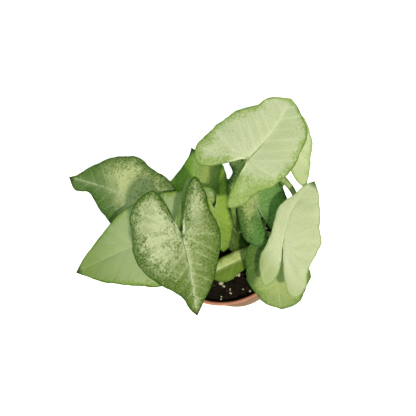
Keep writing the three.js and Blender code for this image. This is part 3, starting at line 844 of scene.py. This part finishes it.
def streaks(blade, washed_and_shaded):
    """Noise that is long along the veins and narrow across them, blended with clouds and with
    fine noise, and less of it near the joint; or a fine mottle, whichever is more. Both are
    full only where the wash is."""
    half = blade.x.rise(-0.01, 0.01, 0.0, HALVES_APART)
    along_veins = {0: blade.number * 1.7, 1: blade.joint * 0.04, 2: half}
    flow = blade.noise(blade.add("CombineXYZ", along_veins), 1.2, 2, 0.6)
    clouds = blade.noise(blade.here, CLOUD_SCALE, 1)
    blend = flow * 0.5 + clouds * 0.25 + blade.fine * 0.25
    share = (blend + blade.joint.rise(0, 0.75 * blade.length, -0.09, 0.04)).rise(0.38, 0.62)
    streak, speckle = blade.look.streak, blade.look.speckle
    share = share * washed_and_shaded.rise(0, 1, 0.55 * streak, streak)
    mottle = blade.fine.rise(0.42, 0.62, 0, 0.65) * washed_and_shaded.rise(0, 1, 0.3 * speckle, speckle)
    return share.at_least(mottle)


def band_depth(blade):
    """The distance from the edge divided by the width of the green band. The band is wider on
    the lobes, narrower towards the tip, and uneven by coarse noise."""
    look, length = blade.look, blade.length
    reach = blade.y.rise(-14, 6, look.lobes, 1.0) * look.band
    reach = reach * blade.coarse.rise(0.3, 0.7, 0.75, 1.25)
    return blade.edge / (reach * blade.y.rise(0.45 * length, 0.9 * length, 1.0, 0.4))


print("widest green band in mm:", max(look.band for look in BLADE_LOOKS.values()))

# %% Veins, flecks and dark edges
def pale_veins(blade, ground):
    """Each vein is pale by its distance: a glow and a line on the midrib, the side veins at
    whole vein numbers, the lobes' main veins, and the crease beside the midrib, which is
    painted shade of the midrib's groove near the joint and pale further out."""
    veins, speckle, behind = blade.look.veins, blade.look.speckle, blade.y * -1
    rib = abs(blade.x).at_least(behind)
    glow = rib.rise(0, 5, 0.5 * veins, 0) * blade.joint.rise(0, 60, 1, 0.4)
    ground = blade.mix(glow.at_least(rib.rise(0.5, 1.4, 0.6 * veins, 0)), ground, PALE)
    side_veins = (blade.number.step("PINGPONG", 0.5) * blade.gap).rise(0.0, 1.5, 0.32 * veins, 0)
    main_veins = abs(blade.costa).rise(0.2, 2.0, 0.45 * veins, 0) * blade.edge.rise(4, 14)
    ground = blade.mix(side_veins.at_least(main_veins), ground, PALE)
    # painted shade: the line beside the midrib is dark near the joint, as the groove's shadow there
    crease = abs(blade.x - 0.5).at_least(behind).rise(0.2, 0.7, 0.75 * veins, 0)
    turn_low, turn_high = 0.3 * speckle * blade.length, (0.05 + 0.55 * speckle) * blade.length
    crease_shade_tone = blade.mix(blade.y.rise(turn_low, turn_high), blade.look.dark, PALE)
    return blade.mix(crease * blade.joint.rise(0, 3), ground, crease_shade_tone)


def green_cells(blade, ground, depth, haze_tone):
    """A haze of green cells, broken up by fine dots, and single dark flecks: both appear where
    noise passes a limit that rises with the square root of the depth, so they are dense at the
    edge and rare inside."""
    speckle = blade.look.speckle
    limit = depth.step("SQRT") * 0.2 + (0.31 + 0.15 * (1 - speckle))
    haze = (blade.fine * 0.85 + blade.coarse * 0.15 - limit).rise(-0.1, 0.08, 0, 0.85)
    haze = haze * blade.dots.rise(0.38, 0.54, 1 - 0.45 * speckle, 1)
    flecks = (blade.dots - limit).rise(0.05, 0.13, 0, 0.8 * speckle)
    return blade.mix(flecks, blade.mix(haze, ground, haze_tone), blade.look.dark)


def dark_edges(blade, colour):
    """Dark by distance: painted shade in the pit at the joint, a rim whose width is uneven by
    coarse noise, and the tip.
    """
    look = blade.look
    # painted shade: the joint, where blade meets stalk in a small pit, is darkened
    joint = blade.joint.rise(0.8, 3.0, look.speckle * look.veins, 0)
    colour = blade.mix(joint, colour, look.dark)
    rim_width = blade.coarse.rise(0.35, 0.65, 1.0, 1.8)
    rim = blade.edge.rise(0.45, rim_width, 0.35 + 0.55 * look.speckle, 0)
    colour = blade.mix(rim, colour, look.dark)
    tip_start, tip_full = blade.length - look.tip_length, blade.length - 0.25 * look.tip_length
    return blade.mix(blade.y.rise(tip_start, tip_full, 0, 0.9), colour, look.tip)


print("most and least speckled:", *(
    end(BLADE_LOOKS, key=lambda name: BLADE_LOOKS[name].speckle) for end in (max, min)
))

# %% Thirteen blades
def blade_finish(name, length, look):
    """Cream, with a wash on one side that on several blades is painted shade; green by streaks
    and by the nearness of the margin; pale veins, and a pale notch edge that is partly a painted
    highlight; over them green cells and dark edges, with painted shade at the joint. A slight
    grain changes the brightness, and the lower side is paler. The relief is a net of cells with
    fine and coarse noise."""
    blade = BladeRecipe(name, length, look)
    # painted shade: on several blades the wash darkens the part of the leaf where shade falls
    washed_and_shaded = wash_and_shade_share(blade)
    ground = blade.mix(washed_and_shaded * look.wash.strength, look.cream, look.wash.tone)
    ground = blade.mix(streaks(blade, washed_and_shaded), ground, look.green)
    depth = band_depth(blade)
    nearness = depth.rise(0.0, 1.4, 0.2 + 0.6 * look.speckle, 0)
    ground = pale_veins(blade, blade.mix(nearness, ground, look.green))
    # pale: a vein along the notch's edge near the joint, and partly a painted highlight of the
    # lobe's rolled edge there
    notch_vein_and_highlight = blade.notch.rise(0.7, 2.0, 0.9 * look.veins, 0) * blade.joint.rise(10, 20, 1, 0)
    ground = blade.mix(notch_vein_and_highlight, ground, PALE)
    haze_tone = blade.mix(washed_and_shaded * (0.8 * look.wash.strength), look.green, look.wash.tone)
    colour = green_cells(blade, ground, depth, haze_tone)
    colour = dark_edges(blade, blade.mix(notch_vein_and_highlight * 0.6, colour, PALE))
    grain = blade.noise(blade.here, GRAIN_SCALE, 2).rise(0.3, 0.7, 0.94, 1.06)
    colour = blade.add("HueSaturation", {"Value": grain, "Color": colour})
    colour = blade.mix(blade.upper, blade.mix(0.6, colour, UNDERSIDE), colour)

    net = {"Vector": blade.here, "Scale": FINE_SCALE}
    net = blade.add("TexVoronoi", net, "Distance", feature="DISTANCE_TO_EDGE")
    blade.bump(net.rise(0.0, 0.3, 0, 0.5) + blade.fine * 0.8 + blade.coarse * 1.2, 0.00012)
    return blade.set(
        Base_Color=colour,
        Roughness=blade.fine.rise(0.3, 0.7, 0.42, 0.55),
        Subsurface_Weight=0.15,
        Subsurface_Radius=(0.7, 1.0, 0.3),
        Subsurface_Scale=0.001,
        Specular_IOR_Level=0.3,
    )


for name, leaf in LEAVES.items():
    finish = blade_finish("leaf_" + name, leaf["length"], BLADE_LOOKS[name])
    points, triangles, measures = fine_blade("blade_" + name, leaf)
    blade = add_piece(f"blade_{name}_fine", points, triangles, finish, measures)
    place_piece(blade, "blade", "blade_" + name)

# %% [markdown]
# ## Stalks
#
# Each leaf stands on its own stalk, and the stalks of one shoot grow out of one short stem.
# A stalk is a profile carried along a path: a smooth curve through a few points, with a
# section that is round at the top and has a grooved sheath at the foot. The curve is the same
# that the solids follow, so the stalks end under their blades.

# %% Routes of the stalks
SOIL_TOP = 82
BLADE_THICKNESS = 0.7
SEAT_GAP = 0.3
NECK_LENGTH = 7
ROUTE_STEPS = 60


def smooth_route(points, count):
    """Points at equal lengths on a centripetal Catmull-Rom curve through the given points."""
    points = np.array(points, float)
    ends = 2 * points[0] - points[1], 2 * points[-1] - points[-2]
    knots = np.concatenate([ends[:1], points, ends[1:]])
    spans = np.maximum(np.linalg.norm(np.diff(knots, axis=0), axis=1), 1e-8) ** 0.5
    pieces = []
    t = np.linspace(0, 1, ROUTE_STEPS)[:, None]
    for i in range(len(points) - 1):
        p0, p1, p2, p3 = knots[i : i + 4]
        d0, d1, d2 = spans[i : i + 3]
        m1 = d1 * ((p1 - p0) / d0 - (p2 - p0) / (d0 + d1) + (p2 - p1) / d1)
        m2 = d1 * ((p2 - p1) / d1 - (p3 - p1) / (d1 + d2) + (p3 - p2) / d2)
        pieces.append(cubic(t, p1, p2, m1, m2))
    line = np.concatenate(pieces)
    length = np.concatenate([[0], np.cumsum(np.linalg.norm(np.diff(line, axis=0), axis=1))])
    places = np.linspace(0, length[-1], count)
    return np.stack([np.interp(places, length, line[:, k]) for k in range(3)], 1)


def stalk_route(leaf):
    """The stalk's way from its shoot up to the lower face of the blade, along its neck angle."""
    _, tip, face = blade_axes(leaf)
    neck = math.radians(leaf["neck"])
    arrival = math.cos(neck) * tip + math.sin(neck) * face
    depth = BLADE_THICKNESS / 2 + SEAT_GAP + leaf["stalk"] * abs(math.cos(neck))
    end = np.array(leaf["at"]) - depth * face
    x, y = SHOOTS[leaf["shoot"]]
    foot = [(x, y, SOIL_TOP - 4), (x, y, SOIL_TOP + 4)]
    return [*foot, *leaf["via"], end - NECK_LENGTH * arrival, end]


print("front leaf's stalk ends, in mm, at", stalk_route(front)[-1].round(1).tolist())

# %% Tubes
STALK_SIDES = 20


def around(count):
    """Evenly spaced angles of a full turn."""
    return np.linspace(0, 2 * np.pi, count, endpoint=False)


def closed_grid(rows, sides):
    """Point numbers of a skin that closes round; its first and last row are one point each."""
    numbers = np.arange(rows * sides).reshape(rows, sides)
    numbers[0], numbers[-1] = numbers[0, 0], numbers[-1, 0]
    return np.concatenate([numbers, numbers[:, :1]], 1)


def tube(route, radius, groove):
    """A closed tube: the section is a circle with a shallow groove on one side, and each end is
    drawn in to a point. The two directions across the path are carried along without twist."""
    tangents = np.gradient(route, axis=0)
    tangents /= np.linalg.norm(tangents, axis=1, keepdims=True)
    across = np.empty_like(route)
    start = np.cross(tangents[0], (0.3, 1, 0.1))
    for i, tangent in enumerate(tangents):
        start = start - tangent * (start @ tangent)
        start = start / np.linalg.norm(start)
        across[i] = start
    beside = np.cross(tangents, across)
    angle = around(STALK_SIDES)
    ring = radius[:, None] * (1 - groove[:, None] * np.exp(-(((angle - np.pi) / 0.7) ** 2)))
    turning = across[:, None] * np.cos(angle)[:, None] + beside[:, None] * np.sin(angle)[:, None]
    points = route[:, None] + ring[..., None] * turning
    tips = [np.repeat(route[k, None, None], STALK_SIDES, 1) for k in (0, -1)]
    points = np.concatenate([tips[0], points, tips[1]])
    return points.reshape(-1, 3), grid_triangles(closed_grid(len(points), STALK_SIDES))


def joined(parts):
    """Several closed skins as one: the point numbers of each follow on from the last."""
    points = np.concatenate([part[0] for part in parts])
    starts = np.cumsum([0] + [len(part[0]) for part in parts[:-1]])
    triangles = np.concatenate([part[1] + start for part, start in zip(parts, starts)])
    return points, triangles


print("triangles of a tube of four rings:",
      len(tube(np.linspace((0, 0, 0), (0, 0, 9), 4), np.ones(4), np.zeros(4))[1]))

# %% Shoots
STEM_DEPTH = 22
STEM_RISE = 9
STEM_RADIUS = 4.2
SHEATH_RADIUS = 2.6
STEM_RINGS = 24
STALK_RINGS = 70


def stalk_finish():
    """Fresh green with paler long streaks, darker towards the soil, and a soft gloss."""
    recipe = Recipe("stalk")
    height = recipe.parts(recipe.here)[2]
    long_way = recipe.add("Mapping", {"Vector": recipe.here, "Scale": (900, 900, 60)})
    streaks = recipe.noise(long_way, 1.0, 3)
    colour = recipe.mix(streaks.rise(0.35, 0.65), "#6C8F3E", "#9DB56A")
    colour = recipe.mix(height.rise(0.085, 0.150), "#7C9450", colour)
    recipe.bump(streaks, 0.0001)
    return recipe.set(
        Base_Color=colour,
        Roughness=0.42,
        Subsurface_Weight=0.2,
        Subsurface_Radius=(0.7, 1.0, 0.3),
        Subsurface_Scale=0.0015,
    )


stalk_green = stalk_finish()
# A stem narrows upwards and swells a little where old leaves stood.
stem_way = np.linspace(0, 1, STEM_RINGS)
stem_radius = STEM_RADIUS * (1 - 0.15 * stem_way) * (1 + 0.05 * np.cos(8 * np.pi * stem_way))
stalk_way = np.linspace(0, 1, STALK_RINGS)
for shoot, (x, y) in SHOOTS.items():
    stem = np.linspace((x, y, SOIL_TOP - STEM_DEPTH), (x, y, SOIL_TOP + STEM_RISE), STEM_RINGS)
    skins = [tube(stem, stem_radius, np.zeros(STEM_RINGS))]
    for leaf in [entry for entry in LEAVES.values() if entry["shoot"] == shoot]:
        radius = SHEATH_RADIUS + (leaf["stalk"] - SHEATH_RADIUS) * stalk_way
        radius += 0.2 * np.exp(-(((stalk_way - 0.96) / 0.04) ** 2))
        groove = 0.3 * (1 - smooth(stalk_way, 0.2, 0.6)) + 0.08
        skins.append(tube(smooth_route(stalk_route(leaf), STALK_RINGS), radius, groove))
    piece = add_piece(f"shoot_{shoot}_fine", *joined(skins), stalk_green)
    place_piece(piece, "stalk", "shoot_" + shoot)

# %% [markdown]
# ## Pot
#
# The pot is turned: one profile goes round the axis. Every corner of the profile is rounded by
# a short curve, as a moulded pot's are, because a sharp edge catches no light. The drain holes
# are cut out of the floor with a Boolean, the one tool here that a formula can't replace as
# simply.

# %% Profile of the pot
POT_HEIGHT = 90
POT_BASE_RADIUS = 37
POT_RIM_RADIUS = 54
POT_WALL = 1.8
POT_FLOOR = 2.6
RIM_BAND_HEIGHT = 11
RIM_BAND_STEP = 1.1
CORNER_RADIUS = 1.2


def wall_radius(z):
    """Outer radius of the plain wall: it widens evenly from the base to the rim."""
    return POT_BASE_RADIUS + (POT_RIM_RADIUS - RIM_BAND_STEP - POT_BASE_RADIUS) * z / POT_HEIGHT


def rounded(profile, radius, steps=6):
    """Each inner corner becomes a curve between two points that lie radius before and after it,
    or nearer where its sides are short."""
    profile = np.array(profile, float)
    line = [profile[:1]]
    t = np.linspace(0, 1, steps)[:, None]
    for before, corner, after in zip(profile[:-2], profile[1:-1], profile[2:]):
        entry, leave = before - corner, after - corner
        entry *= min(radius / np.linalg.norm(entry), 0.45)
        leave *= min(radius / np.linalg.norm(leave), 0.45)
        line.append(corner + (1 - t) ** 2 * entry + t**2 * leave)
    return np.concatenate([*line, profile[-1:]])


band_foot = POT_HEIGHT - RIM_BAND_HEIGHT
inner_rim = POT_RIM_RADIUS - RIM_BAND_STEP - POT_WALL
pot_profile = [
    (0, 0), (POT_BASE_RADIUS - 1, 0), (POT_BASE_RADIUS, 1), (wall_radius(band_foot), band_foot),
    (wall_radius(band_foot) + RIM_BAND_STEP, band_foot + 1), (POT_RIM_RADIUS, POT_HEIGHT - 0.8),
    (POT_RIM_RADIUS - 0.7, POT_HEIGHT), (inner_rim + 0.6, POT_HEIGHT),
    (inner_rim, POT_HEIGHT - 0.6), (wall_radius(POT_FLOOR) - POT_WALL, POT_FLOOR), (0, POT_FLOOR),
]
pot_profile = rounded(pot_profile, CORNER_RADIUS)
print("points in the pot's profile:", len(pot_profile))

# %% Finish of the pot
TURNING_LINE_SPACING = 0.0011


def pot_finish():
    """Terracotta-coloured plastic: faint clouds, painted shade in brown on the inner side of the
    rim, pale specks of dust and fine turning lines."""
    recipe = Recipe("pot_plastic")
    x, y, height = recipe.parts(recipe.here)
    clouds = recipe.noise(recipe.here, 40, 4, 0.6)
    colour = recipe.mix(clouds.rise(0.3, 0.7), "#C07A6C", "#D48E80")
    radius = (x**2 + y**2).step("SQRT")
    # painted shade: the inner side of the rim, which lies in shade, is painted brown
    lip_shade = height.rise(0.0870, 0.0885) * radius.rise(0.0519, 0.0525, 0.9, 0)
    colour = recipe.mix(lip_shade, colour, "#9A5A3A")
    fine = recipe.noise(recipe.here, 900, 3, 0.6)
    colour = recipe.mix(fine.rise(0.6, 0.75, 0, 0.35), colour, "#C4A88F")
    lines = (height * (2 * math.pi / TURNING_LINE_SPACING)).step("SINE")
    recipe.bump(lines * 0.15 + fine, 0.00006)
    return recipe.set(Base_Color=colour, Roughness=fine.rise(0.3, 0.7, 0.45, 0.62))


pot_plastic = pot_finish()
print("nodes in the pot's finish:", len(pot_plastic.node_tree.nodes))

# %% Pot
POT_SIDES = 160
DRAIN_HOLE_RADIUS = 4
DRAIN_RING_RADIUS = 24
DRAIN_HOLES = 6
DRAIN_HOLE_SIDES = 32


def polar(radius, angle, z):
    """Points by their distance from the Z axis, their angle round it and their height."""
    parts = np.broadcast_arrays(radius * np.cos(angle), radius * np.sin(angle), z)
    return np.stack(parts, -1)


def turned(profile, sides):
    """A closed skin round the Z axis; the profile starts and ends on the axis."""
    points = polar(profile[:, :1], around(sides), profile[:, 1:])
    return points.reshape(-1, 3), grid_triangles(closed_grid(len(profile), sides))[:, ::-1]


pot = add_piece("pot_fine", *turned(pot_profile, POT_SIDES), pot_plastic)
bar = [(0, -1), (DRAIN_HOLE_RADIUS, -1), (DRAIN_HOLE_RADIUS, POT_FLOOR + 1), (0, POT_FLOOR + 1)]
bar_points, bar_triangles = turned(np.array(bar, float), DRAIN_HOLE_SIDES)
places = polar(DRAIN_RING_RADIUS, around(DRAIN_HOLES), 0)
drills = joined([(bar_points + place, bar_triangles) for place in places])
drill = add_piece("drill", *drills, pot_plastic)
cut = pot.modifiers.new("drain_holes", "BOOLEAN")
cut.object = drill
cut.operation = "DIFFERENCE"
cut.solver = "EXACT"
bpy.context.view_layer.update()
drilled = pot.evaluated_get(bpy.context.evaluated_depsgraph_get())
drilled = bpy.data.meshes.new_from_object(drilled)
pot.modifiers.clear()
pot.data = drilled
bpy.data.objects.remove(drill)
pot.data.set_sharp_from_angle(angle=math.radians(50))
place_piece(pot, "pot", "pot")

# %% [markdown]
# ## Soil
#
# Potting mix is dark, crumbly peat with bark bits and white perlite. One bumpy surface alone
# looks like rubber, so there are three layers: the filled body with a rough top, a scatter of
# dark crumbs, and the perlite grains. A crumb is a small ball that noise makes uneven; hundreds
# of them are worked out in one array.

# %% Top of the soil
SOIL_RELIEF = 1.6


def soil_relief(x, y):
    """Slow lumps of the top: two crossing ripples with a swell."""
    swell = 0.5 * np.sin(0.31 * x + 1.1) * np.cos(0.27 * y)
    ripples = 0.3 * np.sin(0.63 * x - 0.52 * y) + 0.2 * np.cos(0.9 * y + 0.8 * x)
    return SOIL_RELIEF * (swell + ripples)


def soil_height(x, y):
    """Top of the soil: the slow lumps with three sizes of finer ones."""
    fine = 0.55 * lattice_noise(x, y, 3.1, 1) + 0.4 * lattice_noise(x, y, 1.6, 2)
    return SOIL_TOP + soil_relief(x, y) + fine + 0.2 * lattice_noise(x, y, 0.8, 3)


print("soil at the middle, in mm:", round(float(soil_height(np.zeros(1), np.zeros(1))[0]), 1))

# %% Soil body
SOIL_RINGS = 76
SOIL_SIDES = 300
SOIL_SIDE_RINGS = 7


def soil_finish(name, low, high, roughness):
    """Dark crumb tones by two noises, with a rough surface."""
    recipe = Recipe(name)
    crumb = recipe.noise(recipe.here, 380, 4, 0.65)
    lump = recipe.noise(recipe.here, 90, 3)
    colour = recipe.mix(crumb.rise(0.35, 0.7), low, high)
    colour = recipe.mix(lump.rise(0.4, 0.65, 0, 0.5), colour, low)
    recipe.bump(recipe.noise(recipe.here, 1300, 4, 0.7), 0.0005)
    return recipe.set(Base_Color=colour, Roughness=roughness, Specular_IOR_Level=0.3)


soil_foot = POT_FLOOR + SEAT_GAP
soil_radius = wall_radius(SOIL_TOP - SOIL_RELIEF) - POT_WALL - SEAT_GAP
foot_radius = wall_radius(soil_foot) - POT_WALL - SEAT_GAP
top_radius = np.linspace(0, soil_radius, SOIL_RINGS)[:, None]
settle = 1 - smooth(top_radius, soil_radius - 2, soil_radius)
top_x, top_y, _ = np.moveaxis(polar(top_radius, around(SOIL_SIDES), 0), -1, 0)
top_z = soil_height(top_x, top_y)
top_z = SOIL_TOP + (top_z - SOIL_TOP) * settle
side_share = np.linspace(0, 1, SOIL_SIDE_RINGS + 1)[1:, None]
side_radius = soil_radius + (foot_radius - soil_radius) * side_share
side_z = SOIL_TOP + (soil_foot - SOIL_TOP) * side_share
soil_rings = np.concatenate([top_radius, side_radius, [[0]]])
under_z = np.concatenate([side_z, [[soil_foot]]])
under_z = np.broadcast_to(under_z, (SOIL_SIDE_RINGS + 1, SOIL_SIDES))
soil_points = polar(soil_rings, around(SOIL_SIDES), np.concatenate([top_z, under_z]))
soil_triangles = grid_triangles(closed_grid(len(soil_rings), SOIL_SIDES))
soil_dark = soil_finish("potting_mix", "#070301", "#1E1408", 0.9)
soil = add_piece("soil_fine", soil_points.reshape(-1, 3), soil_triangles, soil_dark)
place_piece(soil, "soil", "soil")

# %% Ball
OCTAHEDRON = [(1, 0, 0), (-1, 0, 0), (0, 1, 0), (0, -1, 0), (0, 0, 1), (0, 0, -1)]
OCTAHEDRON_FACES = [(0, 2, 4), (2, 1, 4), (1, 3, 4), (3, 0, 4)]
OCTAHEDRON_FACES += [(2, 0, 5), (1, 2, 5), (3, 1, 5), (0, 3, 5)]


def ball(levels):
    """A ball from an octahedron: every level cuts each triangle in four, then all points are
    pushed out to the same radius."""
    points, faces = np.array(OCTAHEDRON, float), np.array(OCTAHEDRON_FACES)
    for _ in range(levels):
        sides = np.sort(triangle_sides(faces), 1)
        pairs, index = np.unique(sides, axis=0, return_inverse=True)
        index = index.ravel() + len(points)
        points = np.concatenate([points, points[pairs].mean(1)])
        points /= np.linalg.norm(points, axis=1, keepdims=True)
        ab, bc, ca = np.split(index, 3)
        a, b, c = faces.T
        quarters = (a, ab, ca), (ab, b, bc), (ca, bc, c), (ab, bc, ca)
        faces = np.concatenate([np.stack(quarter, 1) for quarter in quarters])
    return points, faces


print("triangles of a crumb and of a perlite grain:", len(ball(1)[1]), len(ball(2)[1]))

# %% Scatter
rng = np.random.default_rng(7)


def scatter(places, sizes, flatness, unevenness, levels):
    """One lump for each place: a ball, turned at random, stretched by its three sizes, and made
    uneven by three random ripples over its surface."""
    points, faces = ball(levels)
    count = len(places)
    ripples = np.zeros((count, len(points)))
    for _ in range(3):
        ways = rng.normal(size=(count, 3)) * 2.2
        ripples += np.sin(points @ ways.T + rng.uniform(0, 2 * np.pi, count)).T
    lumps = points[None] * (1 + unevenness * ripples[..., None])
    stretch = [np.ones(count), rng.uniform(0.6, 1, count), rng.uniform(*flatness, count)]
    lumps = lumps * (np.stack(stretch, 1) * sizes[:, None])[:, None]
    turn, tip = rng.uniform(0, 2 * np.pi, (count, 1)), rng.uniform(-0.6, 0.6, (count, 1))
    x, y, z = np.moveaxis(lumps, -1, 0)
    y, z = np.cos(tip) * y - np.sin(tip) * z, np.sin(tip) * y + np.cos(tip) * z
    x, y = np.cos(turn) * x - np.sin(turn) * y, np.sin(turn) * x + np.cos(turn) * y
    lumps = np.stack([x, y, z], -1) + places[:, None]
    shifts = np.arange(count)[:, None, None] * len(points)
    return lumps.reshape(-1, 3), (faces[None] + shifts).reshape(-1, 3)


def random_places(sizes, sink):
    """Places on the soil's top, evenly spread over the round, clear of the wall."""
    radius = np.sqrt(rng.uniform(0, 1, len(sizes))) * (soil_radius - sizes - 0.4)
    angle = rng.uniform(0, 2 * np.pi, len(sizes))
    places = polar(radius, angle, 0)
    places[:, 2] = soil_height(places[:, 0], places[:, 1]) + sizes * sink
    return places


print("crumbs lie within", round(soil_radius, 1), "mm of the middle")

# %% Crumbs and perlite
CRUMBS = 1500
PERLITE_GRAINS = 130


def perlite_finish():
    """Chalky white glass foam: warm grey in its pits."""
    recipe = Recipe("perlite")
    pits = recipe.noise(recipe.here, 900, 4, 0.7)
    colour = recipe.mix(pits.rise(0.35, 0.65), "#A59C80", "#E6E0C8")
    recipe.bump(pits, 0.0004)
    return recipe.set(
        Base_Color=colour, Roughness=0.9, Subsurface_Weight=0.1, Subsurface_Scale=0.001
    )


crumb_sizes = rng.gamma(3.0, 0.28, CRUMBS).clip(0.35, 2.4)
crumbs = scatter(random_places(crumb_sizes, 0.15), crumb_sizes, (0.4, 0.8), 0.12, 1)
bark_dark = soil_finish("peat_crumbs", "#0A0502", "#3C2412", 0.85)
place_piece(add_piece("soil_crumbs", *crumbs, bark_dark), "soil")
perlite_sizes = rng.gamma(1.6, 0.7, PERLITE_GRAINS).clip(0.35, 2.6)
perlite = scatter(random_places(perlite_sizes, 0.3), perlite_sizes, (0.6, 0.95), 0.1, 2)
place_piece(add_piece("perlite_grains", *perlite, perlite_finish()), "soil")

# %% [markdown]
